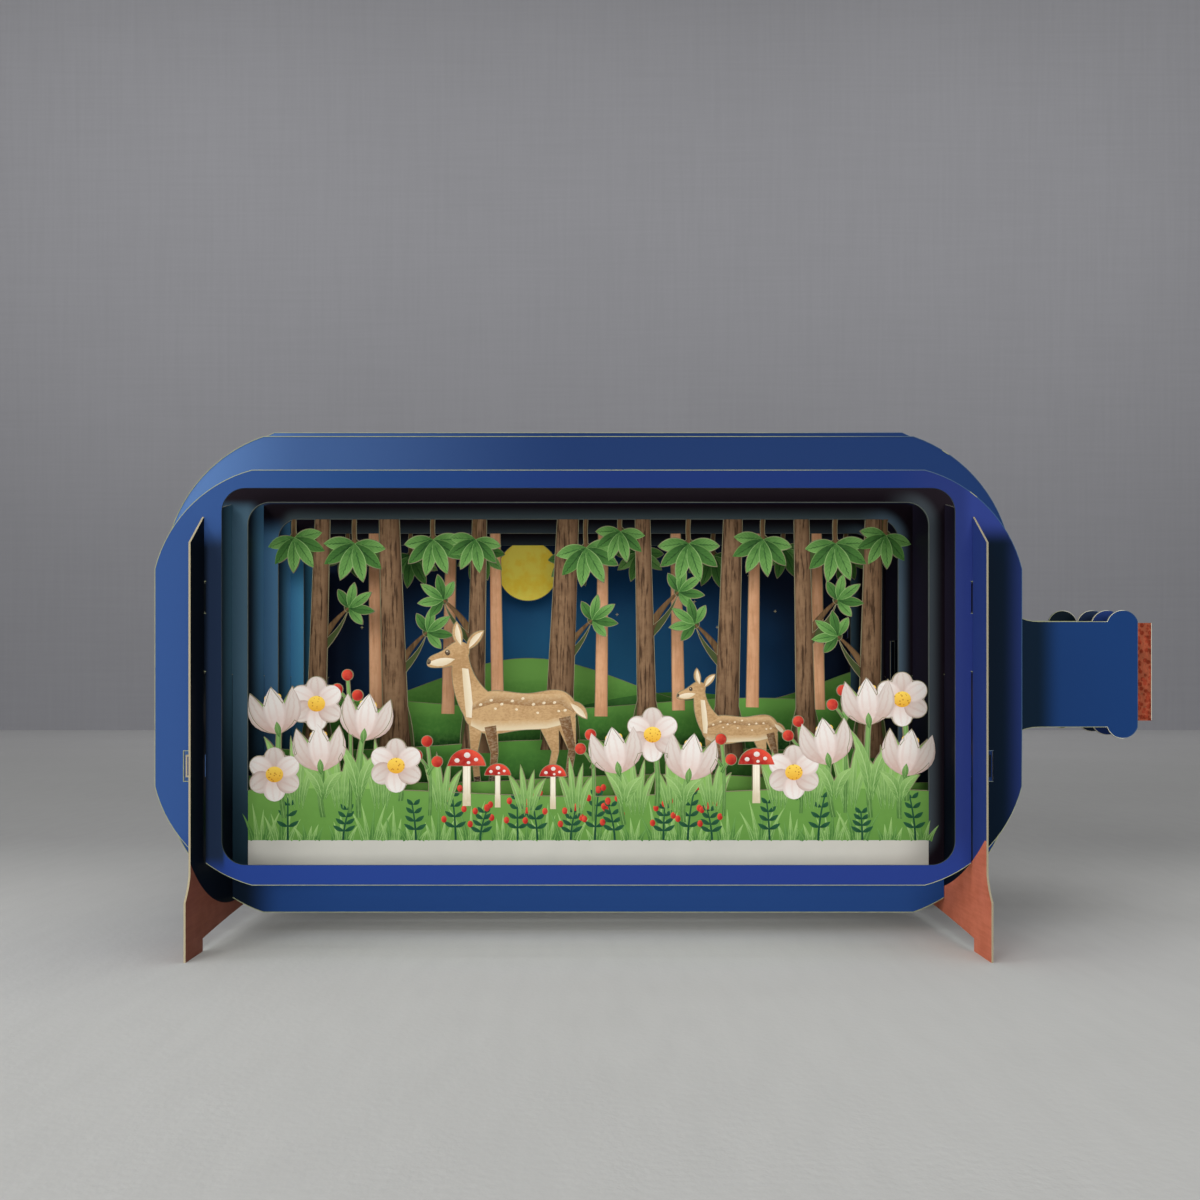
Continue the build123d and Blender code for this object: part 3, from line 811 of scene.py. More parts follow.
def hanging_leaves(fans, inks):
    """Fans of leaves on short twigs at the top of the window, cut off at its edge."""
    limit = window_top - print_inset
    shapes = []
    for x, hang, facing, length in fans:
        hub = (x, window_top - hang)
        shapes.append(stalk(hub, (x, window_top), twig_width, twig_width, 0.2, twig_ink))
        leaves = leaf_fan(hub, facing, fan_leaves, length, inks)
        shapes += reshaped(leaves, lambda along, up: (along, min(up, limit)))
    return shapes


finish_slice(
    "far_trees_layer", "far_forest_print", srgb(64, 90, 44), srgb(84, 156, 196),
    srgb(60, 112, 156), srgb(96, 120, 134), srgb(62, 72, 78), 91.0, srgb(12, 24, 32))
far_shapes = [ground_shape(far_ground, window_base, ground_ink(
    "far_ground_ink", (110, 166, 76), (76, 132, 56), (38, 78, 36), 42.0, 52.0))]
for x, lean in far_trunks:
    foot = (x, rolling_height(x, far_ground) - rooting)
    width = far_trunk_width - 2 * print_inset
    top = (x + lean, window_top)
    far_shapes.append(stalk(foot, top, width, width * trunk_taper, 0, tan_bark, 12))
far_shapes += hanging_leaves(far_fans, [deep_leaf, bright_leaf, deep_leaf])
lay_ink("far_trees_print", "far_trees_layer", far_shapes)

# Near trees layer: the third slice. Thick brown trunks, each with a bough that ends in leaves,
# stand on a darker ground. The slice carries the front of the neck with its rounded lip.
near_ground = (41.0, 1.3, 4.0)
# Near trunks: place along X, width, lean, the side of the bough and the height where it starts
near_trunks = [
    (-67.5, 4.8, 1.5, 1, 64), (-48, 6.4, -1.5, 1, 58), (-28, 4.6, 1.0, -1, 66),
    (-7, 6.8, 2.0, 1, 61), (14.5, 4.8, -1.0, 1, 68), (34.5, 6.0, 1.5, -1, 60),
    (54, 4.8, -1.0, 1, 66), (70, 5.4, 1.0, -1, 57),
]
flare_height = 13.0
flare_reach = 1.6
flare_rows = 6
trunk_rows = 8
bough_rise = 11.0
bough_reach = 8.0
bough_foot = 2.72
bough_tip = 0.5
bough_bend = 0.9
bough_turn = 55.0
bough_leaves = 5
bough_leaf = 7.0
near_fans = [(-73, 4.5, -75, 9.0), (-58, 6, -95, 10.0), (-38.5, 5, -85, 9.5), (-28, 5, -100, 8.5),
             (-0.5, 7, -80, 10.0), (8, 3, -95, 8.0), (25, 6, -90, 10.0), (43.5, 5, -100, 9.5),
             (61.5, 6, -85, 10.0), (74, 4, -105, 8.5)]
brown_bark = bark_ink("brown_bark_ink", (140, 110, 82), (104, 78, 56), (58, 42, 30), 1.0)


def trunk_shape(x, width, lean):
    """Trunk with a flared foot that leans a little towards its top."""
    foot = rolling_height(x, near_ground) - rooting
    flare = foot + flare_height
    half = width / 2 - print_inset
    rows = []
    for row in range(flare_rows + 1):
        share = row / flare_rows
        rows.append((x, foot + flare_height * share, half + flare_reach * (1 - share) ** 2))
    for row in range(1, trunk_rows + 1):
        share = row / trunk_rows
        reach = half * (1 + (trunk_taper - 1) * share)
        rows.append((x + lean * share, flare + (window_top - flare) * share, reach))
    left = [(middle - reach, z) for middle, z, reach in rows]
    return left, [(middle + reach, z) for middle, z, reach in rows], brown_bark


finish_slice(
    "near_trees_layer", "near_forest_print", srgb(66, 78, 42), srgb(78, 118, 150),
    srgb(56, 92, 126), srgb(86, 106, 122), srgb(64, 76, 80), 92.0, srgb(26, 59, 111))
near_shapes = [ground_shape(near_ground, window_base, ground_ink(
    "near_ground_ink", (96, 152, 66), (66, 118, 50), (30, 66, 32), 33.0, 43.0))]
near_inks = [bright_leaf, deep_leaf, bright_leaf]
bough_fans = []
for x, width, lean, side, bough in near_trunks:
    tip = (x + side * bough_reach, bough + bough_rise)
    near_shapes.append(stalk((x, bough), tip, bough_foot, bough_tip, side * bough_bend, twig_ink))
    near_shapes.append(trunk_shape(x, width, lean))
    bough_fans += leaf_fan(tip, 90 - bough_turn * side, bough_leaves, bough_leaf, near_inks)
near_shapes += bough_fans + hanging_leaves(near_fans, near_inks)
lay_ink("near_trees_print", "near_trees_layer", near_shapes)

# Animal strip: a low strip of green ground with a doe and a fawn, die-cut with it. Its ends go
# through the side panels. The animals are printed tan, lighter below, with dark hooves.
strip_ground = (33.7, 1.0, 2.6)
strip_end = 81.6
strip_foot = 9.1
hoof_rooting = 0.6
doe_place = (-19.0, 1.0)
fawn_place = (34.0, 0.68)
coat_tan = (204, 168, 122)
coat_brown = (176, 138, 94)
coat_cream = (226, 208, 174)


def hair_of(place):
    """Short brushed hair, as a value from 0 to 1."""
    return noise(place, 2600.0, 3.0, 0.6, (0.6, 1.0, 1.0))


def paint_strip(place):
    """Tan coat above the ground line, with short brushed hair."""
    tone = calc("MULTIPLY_ADD", hair_of(place), 0.5, times(noise(place, 160.0, 3.0), 0.5))
    return blend(tone, 0.35, 0.65, srgb(*coat_brown), srgb(*coat_tan))


def coat_ink(name, root, tip):
    """Ink of a patch of coat that runs from one colour to another across, with brushed hair."""

    def paint(place, across, along):
        return layered(srgb(*root), [
            (across, -1.0, 1.0, srgb(*tip)), (hair_of(place), 0.4, 0.7, srgb(*coat_cream), 0.25)])

    return new_ink(name, paint)


def strip_ends(place):
    """Share of painted shade on the cut edges: 1 at the strip's ends, which go through the side
    panels.
    """
    return fade(calc("ABSOLUTE", axes_of(place)[0]), 76.0, 77.5)


finish_node("animal_strip", "animal_print", paint_strip, shade=strip_ends)
back_ink = coat_ink("coat_back_ink", (158, 120, 80), coat_tan)
belly_ink = coat_ink("coat_belly_ink", coat_tan, coat_cream)
cream_ink = coat_ink("coat_cream_ink", coat_cream, (240, 226, 200))
far_leg_ink = coat_ink("far_leg_ink", (112, 80, 52), (128, 92, 60))
hoof_ink = coat_ink("hoof_ink", (58, 42, 34), (74, 54, 42))
strip_ground_ink = ground_ink(
    "strip_ground_ink", (124, 176, 84), (92, 146, 62), (48, 96, 42), 24.0, 35.0)


def deer_print(place, size):
    """Print of one animal, drawn for the larger one from between its hooves and then scaled."""
    shapes = [
        ([(-8.8, 17.2), (-3.2, 18.9), (5, 18.2), (12.4, 18.6), (15.6, 16.6)],
         [(-9.2, 18.4), (-3.5, 21.6), (5, 21.0), (13.3, 21.2), (16.0, 18.0)], back_ink),
        ([(-8.6, 15.2), (-5.5, 14.6), (2, 14.8), (8.8, 14.8), (12.6, 15.6)],
         [(-8.9, 13.6), (-6.2, 12.2), (2, 12.5), (9.3, 12.9), (13.6, 14.0)], belly_ink),
        ([(-10.9, 27.2), (-10.6, 23.0), (-10.2, 18.6), (-9.9, 15.6)],
         [(-9.4, 27.0), (-8.8, 23.0), (-8.4, 18.8), (-8.6, 15.4)], cream_ink)]
    for hip, knee, hoof in (((-4.2, 13.4), (-3.2, 7.0), (-3.8, 1.2)),
                            ((13.4, 15.6), (15.2, 7.8), (14.0, 1.2))):
        shapes.append(stalk(hip, knee, 2.8, 1.7, 0, far_leg_ink, 3))
        shapes.append(stalk(knee, hoof, 1.7, 1.4, 0, far_leg_ink, 3))
    for x, lean in ((-7.2, -0.16), (-3.8, 0.09), (9.6, 0.22), (14.0, 0.16)):
        shapes.append(stalk((x, 0.1), (x + lean, 1.5), 1.5, 1.55, 0, hoof_ink, 2))
    # Muzzle, ears and tail: root, tip, width and bend
    for root, tip, width, bend in (((-12.6, 29.3), (-19.0, 28.3), 1.9, 0.2),
                                   ((-11.1, 32.6), (-12.1, 37.7), 1.3, 0.3),
                                   ((-9.3, 31.9), (-6.0, 35.8), 1.3, 0.3),
                                   ((14.8, 18.8), (18.5, 15.3), 1.4, 0.1)):
        shapes.append(blade(root, tip, width, bend, cream_ink, 6))
    # Nose, eye and the light in the eye
    shapes += [oval((-18.75, 28.7), 0.5, 0.62, hoof_ink),
               oval((-14.3, 30.9), 0.62, 0.72, hoof_ink, 12),
               oval((-14.45, 31.15), 0.16, 0.18, cream_ink, 0, 4)]
    # Pale spots along the back, in a wavy row with a lower one beside every other spot
    for step in range(9):
        x = -6.5 + 2.5 * step
        z = 19.4 + 0.7 * math.sin(2.1 * step) - 0.012 * (x - 2) ** 2
        shapes.append(oval((x, z), 0.42, 0.32, cream_ink, 20, 4))
        if step % 2:
            shapes.append(oval((x + 1.0, z - 2.0), 0.36, 0.28, cream_ink, -10, 4))
    foot = rolling_height(place, strip_ground) - hoof_rooting
    return reshaped(shapes, lambda x, z: (place + size * x, foot + size * z))


def at_strip_end(first, second):
    """Whether an edge lies at an end of the strip, in the dark of the body."""
    return min(abs(first[0]), abs(second[0])) > window_half - 0.5


strip_shapes = deer_print(*doe_place) + deer_print(*fawn_place)
strip_shapes.append(
    ground_shape(strip_ground, strip_foot, strip_ground_ink, print_inset, strip_end))
lay_ink("animals_print", "animal_strip", strip_shapes, at_strip_end)

# Meadow layer: the second slice. White flowers, berries, toadstools and grass are die-cut along
# the top of a green meadow, and more grass is printed on it. A bare band runs along its foot.
meadow_ground = (31.5, 0.9, 0.6)
band_top = 20.6
band_foot = 14.0
sprig_foot = band_top + 0.05
width_trim = 0.1
cup_height = 11.0
cup_half = 4.8
petal_count = 6
petal_radius = 2.35
petal_reach = 3.9 + petal_radius
stem_width = 1.3 - width_trim
stem_bend = 0.6
stem_sway = 0.12
leaf_width = 2.6 - width_trim
leaf_spread = 4.6
leaf_bend = 1.2
leaf_foot = 0.5
leaf_reaches = ((-1, 0.8), (1, 0.62))
blade_width = 1.5 - width_trim
tuft_blades = [(-4.2, 0.7), (-1.4, 1.0), (1.8, 0.84), (4.4, 0.56)]
sprig_width = 0.9 - width_trim
sprig_tip = sprig_width - width_trim
berry_radius = 1.3
berry_spread = 2.3
berry_drops = ((-1, 3.2), (1, 4.6))
cap_radius = 4.4
cap_height = 4.0
cap_rows = 10
cap_inset = 0.06
stalk_width = 1.9
stalk_height = 6.0
# Flowers, sprigs and tufts: place along X, height of the top, and the lean of a cup in degrees
cup_flowers = [(-70, 44.5, 10), (-60.5, 36.0, 4), (-51, 43.0, -8), (7, 35.5, 9), (22.5, 34.0, -8),
               (54.5, 37.5, 8), (63.5, 46.5, 3), (71.5, 35.0, -9)]
open_flowers = [(-61.5, 51.5), (-43.5, 37.5), (-71, 35.5), (14.5, 44.5), (46.5, 36.0), (71.0, 52.5)]
berry_sprigs = [(-54.5, 58.0), (-36.5, 43.0), (0.5, 44.5), (30.0, 43.5), (47.5, 47.5), (57.5, 54.5)]
grass_tufts = [(-66, 12), (-56, 10), (-47, 12), (-33, 9), (-14, 7), (-3, 9), (11, 10), (19, 9),
               (28, 8), (43, 9), (50.5, 11), (59, 12), (67.5, 10)]
# Toadstools: place along X and size
toadstools = [(-27.5, 1.0), (-20.5, 0.7), (38.0, 0.95), (-8.0, 0.72)]


def petal_ink_of(name, root, tip, rim):
    """Ink of a petal: blushed at its root, paler at its tip, with fine long rays."""
    root, tip, rim = srgb(*root), srgb(*tip), srgb(*rim)

    def paint(place, across, along):
        return layered(root, [
            (along, 0.0, 0.75, tip), (calc("SINE", times(across, 9.5)), 0.2, 1.0, root, 0.35),
            (noise(place, 800.0, 3.0), 0.45, 0.7, tip, 0.25),
            (calc("ABSOLUTE", across), 0.7, 1.0, rim, 0.55)])

    return new_ink(name, paint)


def paint_heart(place, across, along):
    """Yellow heart of a flower, dotted with orange."""
    cells = add_node("ShaderNodeTexVoronoi", {"Vector": place, "Scale": 1500.0})
    return layered(srgb(224, 164, 52), [
        (along, 0.0, 1.0, srgb(248, 212, 92)),
        (cells.outputs["Distance"], 0.34, 0.2, srgb(176, 106, 34), 0.75)])


def paint_red(place, across, along):
    """Red of a berry or a cap: lit on its upper left, deeper on its lower right."""
    slant = calc("SUBTRACT", along, times(across, 0.4))
    return layered(srgb(158, 34, 32), [
        (slant, 0.1, 1.2, srgb(226, 78, 58)),
        (noise(place, 900.0, 3.0), 0.4, 0.7, srgb(236, 110, 84), 0.25)])


def paint_band(place, across, along):
    """Bare grey-white card."""
    return mix(noise(place, 120.0, 4.0), srgb(184, 183, 175), srgb(198, 196, 187))


petal_ink = petal_ink_of("petal_ink", (216, 190, 180), (230, 224, 218), (194, 174, 166))
petal_shade = petal_ink_of("petal_shade_ink", (196, 164, 152), (214, 204, 196), (176, 150, 140))
stalk_ink = petal_ink_of("toadstool_stalk_ink", (206, 192, 160), (240, 232, 212), (188, 172, 140))
heart_ink = new_ink("heart_ink", paint_heart)
red_ink = new_ink("red_ink", paint_red)
grass_ink = leaf_ink("grass_ink", (84, 132, 60), (150, 188, 112), (168, 200, 132), (152, 188, 116))
deep_grass_ink = leaf_ink(
    "deep_grass_ink", (64, 110, 50), (104, 152, 76), (128, 172, 96), (88, 136, 66))
stem_ink = leaf_ink("stem_ink", (70, 114, 52), (122, 162, 92), (146, 182, 112), (96, 140, 72))
sprig_ink = leaf_ink("sprig_ink", (28, 68, 46), (44, 92, 60), (24, 58, 42), (58, 108, 72))
meadow_ink = ground_ink("meadow_ink", (108, 154, 74), (98, 144, 66), (84, 128, 58), 20.0, 34.0)

band_line = [(-window_half, band_top), (window_half, band_top)]
meadow = [
    ground_shape(meadow_ground, band_foot, meadow_ink, print_inset),
    (band_line, [(x, band_foot) for x, _ in band_line], new_ink("bare_band_ink", paint_band)),
]

# Tufts of grass and sprigs printed on the meadow itself, one after another along it. Sines of
# their numbers vary their places, reach and lean, so each run draws the same meadow.
printed_tufts = 26
tuft_margin = 3.0
tuft_leans = (-0.62, -0.3, 0.02, 0.34, 0.68)
printed_blade = (1.35, 0.06)
for number in range(printed_tufts):
    x = (window_half - tuft_margin) * (2 * number / (printed_tufts - 1) - 1)
    x += 1.4 * math.sin(number * 5.1)
    reach = 7.5 + 3.2 * math.sin(number * 1.7 + 0.8)
    for order, lean in enumerate(tuft_leans):
        long = reach * (1.0 - 0.45 * abs(lean))
        long *= 0.85 + 0.15 * math.sin(number * 3.3 + order * 2.1)
        sway = lean * long * 0.55 + 0.5 * math.sin(number * 2.9 + order)
        root = (x + 0.9 * (order - 2), sprig_foot)
        tip = (x + 1.1 * (order - 2) + sway, band_top + long)
        ink = grass_ink if (number + order) % 3 else deep_grass_ink
        meadow.append(stalk(root, tip, *printed_blade, 0.10 * sway, ink))
printed_sprigs = [-68, -55.5, -39, -30, -24.5, -16, -11.5, -4, 1.5, 6, 17, 22.5, 28, 41, 52, 62, 74]
berried_reach = 32.0
for number, x in enumerate(printed_sprigs):
    lean = math.sin(number * 1.9)
    top = (x + 1.6 * lean, band_top + 8.8 + 2.2 * math.cos(number * 2.3))
    meadow.append(stalk((x, sprig_foot), top, 0.5, 0.3, 0.3 * lean, sprig_ink, 6))
    for pair in range(4):
        share = 0.28 + 0.22 * pair
        node = (x + lean * share, band_top + (top[1] - band_top) * share)
        for side in (-1, 1):
            tip = (node[0] + side * (2.5 - 0.35 * pair), node[1] + 1.3)
            meadow.append(blade(node, tip, 1.0, -side * 0.15, sprig_ink, 5))
            if abs(x) < berried_reach and pair % 2 == (side + 1) // 2:
                meadow.append(oval((tip[0], tip[1] + 0.5), 0.62, 0.78, red_ink, 0, 6))
    if abs(x) < berried_reach:
        meadow.append(oval((top[0], top[1] + 0.7), 0.66, 0.85, red_ink, 0, 6))


def foot_height(x):
    """Height at which a plant's stem starts, a little under the edge of the meadow."""
    return rolling_height(x, meadow_ground) - rooting


for x, height in grass_tufts:
    foot = foot_height(x)
    for lean, share in tuft_blades:
        tip = (x + lean, foot + rooting + height * share - 0.1)
        root = (x + lean * 0.3, foot - 2.0)
        meadow.append(blade(root, tip, blade_width, lean * 0.14, grass_ink))
for x, top in berry_sprigs:
    root = (x + 0.6, foot_height(x) - 3.0)
    meadow.append(stalk(root, (x, top), sprig_width, sprig_tip, -0.4, stem_ink))
    for side, drop in berry_drops:
        fork = (x + 0.2, top - drop - 3.0)
        berry = (x + side * berry_spread, top - drop)
        meadow.append(stalk(fork, berry, sprig_width, sprig_tip, side * 0.2, stem_ink, 4))
        meadow.append(oval(berry, berry_radius, berry_radius, red_ink))
    meadow.append(oval((x, top), berry_radius, berry_radius, red_ink))
for x, top in open_flowers:
    root = (x + 1.0, foot_height(x))
    meadow.append(stalk(root, (x, top), stem_width, stem_width, -stem_bend, stem_ink))
for x, top, lean in cup_flowers:
    foot = foot_height(x)
    root = x + lean * stem_sway
    meadow.append(stalk((root, foot - 4), (x, top + 1), stem_width, stem_width, 0.5, stem_ink))
    for side, share in leaf_reaches:
        start = (root + side * leaf_foot, foot)
        tip = (root + side * leaf_spread, foot + (top - foot) * share + rooting - 0.1)
        meadow.append(blade(start, tip, leaf_width, side * leaf_bend, grass_ink))
for x, top in open_flowers:
    for number in range(petal_count):
        turn = 360.0 / petal_count * number
        angle = math.radians(90 + turn)
        middle = 0.56 * petal_reach
        centre = (x + middle * math.cos(angle), top + middle * math.sin(angle))
        ink = petal_ink if number % 2 else petal_shade
        meadow.append(oval(centre, petal_radius * 1.08, 0.42 * petal_reach, ink, turn))
    meadow.append(oval((x, top), 2.0, 1.8, heart_ink))
for x, top, lean in cup_flowers:
    cosine = math.cos(math.radians(lean))
    sine = math.sin(math.radians(lean))

    def turned(px, pz):
        """Point of the flower after its lean, on top of the stem."""
        return x + px * cosine - pz * sine, top + px * sine + pz * cosine

    for px in (-1.3, 0.1, 1.4):
        meadow += [stalk(turned(0, 4), turned(px, 8.2), 0.5, 0.4, 0, heart_ink, 2),
                   oval(turned(px, 8.4), 0.62, 0.75, heart_ink, 0, 6)]
    for side in (-1, 1):
        tip = turned(side * cup_half, cup_height - 0.75)
        meadow.append(blade(turned(0, 0.1), tip, 4.2, -side * 1.5, petal_shade))
    meadow += [blade(turned(0, 0.05), turned(0, cup_height - 0.1), 5.2, 0, petal_ink, 10),
               blade(turned(0, -0.6), turned(0, 3.0), 1.5, 0, stem_ink, 5)]
for x, size in toadstools:
    foot = rolling_height(x, meadow_ground)
    low = foot + stalk_height * size
    thick = stalk_width * size
    meadow.append(stalk((x, foot - 3), (x, low), thick, thick * 0.9, 0, stalk_ink))
    cap = ([], [])
    for row in range(cap_rows + 1):
        across = 2 * row / cap_rows - 1
        out = x + (cap_radius * size - cap_inset) * across
        arch = cap_height * size * (1 - across * across) ** 0.55
        cap[0].append((out, low + max(arch - cap_inset, 0.1)))
        cap[1].append((out, low + 0.03))
    meadow.append((*cap, red_ink))
    for dx, dz, dot in ((-2.2, 1.3, 0.6), (0.1, 2.5, 0.75), (2.1, 1.5, 0.5), (0.4, 0.8, 0.42)):
        spot = (x + dx * size, low + dz * size)
        meadow.append(oval(spot, dot * size, dot * size * 0.85, petal_ink, 0, 6))
finish_slice(
    "meadow_layer", "meadow_print", srgb(132, 176, 92), srgb(76, 104, 122), srgb(54, 84, 102),
    srgb(70, 78, 84), margin_black, 95.0, frame_blue)
lay_ink("meadow_flowers_print", "meadow_layer", meadow)

# Front frame: the front slice, satin blue card with the large window. Painted shadows of the
# fins of the side panels, which come through its slits, darken it beside them, and a painted
# sheen lightens its left side.
fin_shadow_navy = srgb(30, 44, 68)
fin_shadow_dark = srgb(12, 20, 32)
lock_heights = (30, 50)
lock_reach = 5
window_margin = 0.1


def paint_front(place):
    """Satin blue with a painted sheen on the left, deeper on the right, and painted fin shadows."""
    along, height = axes_of(place)
    low = blend(along, -60.0, 60.0, srgb(36, 61, 130), srgb(36, 56, 125))
    # Painted sheen, lightest on the left, and painted a little lighter again just left of the right
    # fin
    body = layered(srgb(50, 80, 134), [
        (along, -86.0, -40.0, srgb(33, 67, 118)), (along, -60.0, 10.0, srgb(24, 47, 106)),
        (along, 60.0, 78.0, srgb(36, 50, 108)), (along, 78.0, 81.0, srgb(43, 58, 124)),
        (height, 26.0, 17.0, low)])
    # Painted shadow of the left fin up to the window, and of the right fin past its slit
    beside = times(fade(along, -panel_reach - 0.1, -panel_reach), fade(along, -76.0, -76.9))
    beside = times(beside, times(fade(height, 89.0, 84.0), fade(height, 16.0, 20.0)))
    fin_shadow = blend(along, -panel_reach + 0.2, -79.4, fin_shadow_dark, fin_shadow_navy)
    past = times(fade(along, panel_reach, panel_reach + 0.1), fade(height, 90.0, 85.0))
    strip = blend(along, 86.6, 92.6, srgb(2, 18, 34), srgb(32, 47, 100))
    return mix(past, mix(beside, body, fin_shadow), strip)


def without_rim(first, second):
    """Whether an edge lies along the window, a long side of a slit or the right lock hole."""
    in_window = all(abs(x) < window_half + window_margin
                    and window_base - window_margin < z < window_top + window_margin
                    for x, z in (first, second))
    in_lock = all(panel_reach + slit_half < x < panel_reach + lock_reach
                  and lock_heights[0] < z < lock_heights[1] for x, z in (first, second))
    return in_window or in_lock or along_slit(first, second)


def round_large_window(place):
    """Share of painted shade on the cut edges: 1 along the window's edge, 0 at the frame's outer
    edge.
    """
    return fade(beyond_window(*axes_of(place)), 1.0, 0.5)


finish_node("front_frame", "front_print", paint_front, shade=round_large_window)
lay_ink("front_rim", "front_frame", [], without_rim)

# Side panels: two upright sheets square to the slices, blue with copper-brown feet. Their fins
# stand out in front and behind, and a small tab folds out of each fin into a lock hole.
foot_print_top = 24.0
panel_blue = srgb(36, 54, 108)
panel_navy = srgb(24, 40, 84)
# Near black painted shade: on the left fin's inner face, low between the slices, past the right
# fin, and deep in the neck and the cork
panel_shade_black = srgb(11, 17, 26)
fin_blue = srgb(44, 62, 126)
fin_foot = 50.25
panel_roughness = 0.4
# Print on a lock tab: its lower end, its upper end and how far it reaches from the middle
lock_flap = (36.65, 40.65, 84.15)
# Bays between the slices, from front to rear: where they end, and their darker and lighter tone,
# as painted shade and painted light, lit on the left and near black on the right
bay_ends = (-50.0, -33.5, -11.25, 11.25, 33.5, 50.0)
left_bays = [((19, 25, 34), (66, 100, 118)), ((22, 26, 34), (88, 136, 172)),
             ((30, 46, 60), (96, 160, 204)), ((36, 64, 84), (96, 168, 204)),
             ((20, 40, 60), (30, 60, 90))]
right_bays = [((26, 22, 34), (34, 30, 44))] * 5


def paint_bays(y, bays):
    """Inner face of a panel between the slices: from painted shade to painted light in each bay's
    rear.
    """
    inner = srgb(*bays[0][0])
    for start, end, (dark, light) in zip(bay_ends, bay_ends[1:], bays):
        bay = blend(y, (start + end) / 2, end, srgb(*dark), srgb(*light))
        inner = mix(calc("GREATER_THAN", y, start), inner, bay)
    return inner


def paint_panel(side, section, copper_light, copper_deep, face, bays):
    """Paint of a side panel: brushed copper on the feet, outside the bottle's round section.

    The section is the place of its arc's middle along Y, the height of that and its radius. The
    face is the colour of the fins' inner side.
    """
    middle_y, middle_z, radius = section

    def paint(place):
        along, height = axes_of(place)
        y = times(parts_of(place)["Y"], 1 / mm)
        depth = calc("ABSOLUTE", y)
        inside = calc("LESS_THAN", times(facing(place, "X"), side), 0.0)
        off_y = calc("MAXIMUM", calc("SUBTRACT", depth, middle_y), 0.0)
        off_axis = squares(off_y, calc("SUBTRACT", middle_z, height))
        outside = calc("GREATER_THAN", calc("SQRT", off_axis), radius)
        on_foot = times(outside, calc("LESS_THAN", height, foot_print_top))
        stretch = add_node("ShaderNodeMapping", {
            0: place, "Rotation": (math.radians(25), 0, 0), "Scale": (1.0, 60.0, 700.0)})
        brush = times(noise(stretch.outputs[0], 1.2, 4.0, 0.7), 0.5)
        grain = calc("ADD", brush, times(noise(place, 260.0, 4.0, 0.6), 0.5))
        copper = blend(grain, 0.3, 0.7, copper_deep, copper_light)
        blue = blend(depth, 36.0, 50.0, panel_navy, panel_blue)
        between = blend(height, 26.0, 66.0, panel_shade_black, paint_bays(y, bays))
        within = mix(calc("GREATER_THAN", depth, fin_foot), between, face)
        past = calc("GREATER_THAN", along, panel_reach + 0.3)
        printed = mix(past, mix(inside, blue, within), panel_shade_black)
        return mix(on_foot, printed, copper)

    return paint


def lock_tab_print(place):
    """Share of print on the outer face of the lock tabs, which leaves a fine bare rim."""
    along, height = axes_of(place)
    low, high, reach = lock_flap
    level = times(calc("GREATER_THAN", height, low), calc("LESS_THAN", height, high))
    across = calc("ABSOLUTE", along)
    beside = calc("GREATER_THAN", across, panel_reach + 0.2)
    beside = times(beside, calc("LESS_THAN", across, reach))
    past_right = calc("GREATER_THAN", along, panel_reach + 0.25)
    return calc("MAXIMUM", times(level, beside), past_right)


def in_body(place):
    """Share of shade on the cut edges: deep inside the body, light on the right fins and feet."""
    along, height = axes_of(place)
    depth = times(calc("ABSOLUTE", parts_of(place)["Y"]), 1 / mm)
    inner = times(fade(depth, 50.2, 49.8), fade(height, 21.0, 24.0))
    on_right = times(calc("GREATER_THAN", along, 0.0), 0.3)
    return calc("MAXIMUM", times(inner, 0.75), on_right)


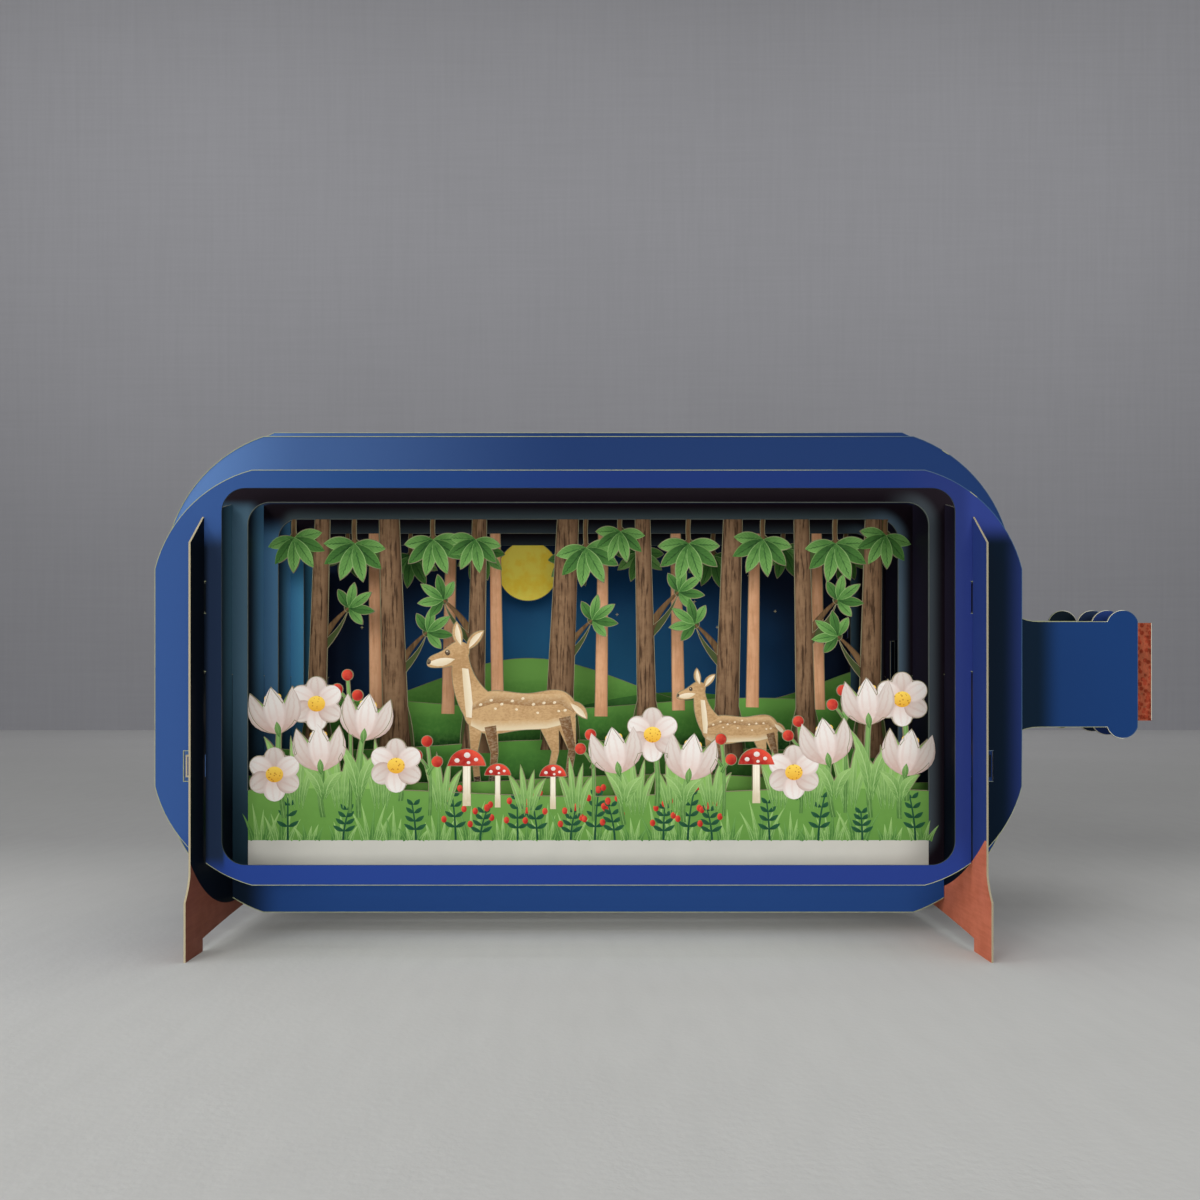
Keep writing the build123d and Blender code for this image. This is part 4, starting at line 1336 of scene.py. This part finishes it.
# The left panel's copper is painted darker as shade and the right panel's lighter as lit
left_paint = paint_panel(
    -1, (31.0, 40.7, 34.0), srgb(134, 82, 66), srgb(118, 68, 54), panel_shade_black, left_bays)
right_paint = paint_panel(
    1, (11.0, 74.4, 68.0), srgb(214, 124, 96), srgb(192, 104, 76), fin_blue, right_bays)
for node, paint in (("left_stand_panel", left_paint), ("right_stand_panel", right_paint)):
    finish_node(node, node + "_print", paint, axis="X", both_sides=True,
                roughness=panel_roughness, flap=lock_tab_print, shade=in_body)

# Neck sheets: two short slices that stand between the near and the far trees layer and only show
# at the neck. They are blue at the lip, the rear one darker.
neck_blue = srgb(36, 57, 113)
neck_navy = srgb(32, 46, 72)


def paint_neck(blue):
    """Paint of a neck sheet: blue at the lip, with painted shade to near black towards the body."""

    def paint(place):
        return blend(axes_of(place)[0], 122.0, 132.0, panel_shade_black, blue)

    return paint


for node, blue in (("front_neck_sheet", neck_blue), ("rear_neck_sheet", neck_navy)):
    finish_node(node, node + "_print", paint_neck(blue))
    lay_ink(node + "_rim", node, [])

# Cork sheet: a flat sheet with a cork print on both sides. It stands in the middle of the neck
# and shows past the mouth.
cork_light = srgb(158, 66, 44)
cork_middle = srgb(112, 42, 25)
cork_dark = srgb(62, 27, 17)
cork_fleck = srgb(190, 116, 84)
cork_roughness = 0.55
cork_end = 144.0


def paint_cork(place):
    """Cork: small cells with dark pits and pale flecks, with painted shade inside the neck."""
    cells = add_node("ShaderNodeTexVoronoi", {"Vector": place, "Scale": 900.0})
    return layered(cork_middle, [
        (noise(place, 520.0, 5.0, 0.7, (1.0, 1.0, 0.45)), 0.42, 0.64, cork_light),
        (noise(place, 1200.0, 3.0, 0.7), 0.58, 0.68, cork_dark, 0.8),
        (cells.outputs["Distance"], 0.42, 0.62, cork_fleck, 0.3),
        (axes_of(place)[0], 120.0, 112.0, panel_shade_black)])


def inner_end(place):
    """Share of painted shade on the cut edges: 1 on the part inside the neck and the body."""
    return fade(axes_of(place)[0], 130.0, 125.0)


def left_of_end(first, second):
    """Whether an edge isn't at the outer end of the sheet."""
    return first[0] + second[0] < 2 * cork_end


finish_node("cork_sheet", "cork_print", paint_cork, both_sides=True,
            roughness=cork_roughness, shade=inner_end)
lay_ink("cork_rim", "cork_sheet", [], left_of_end)
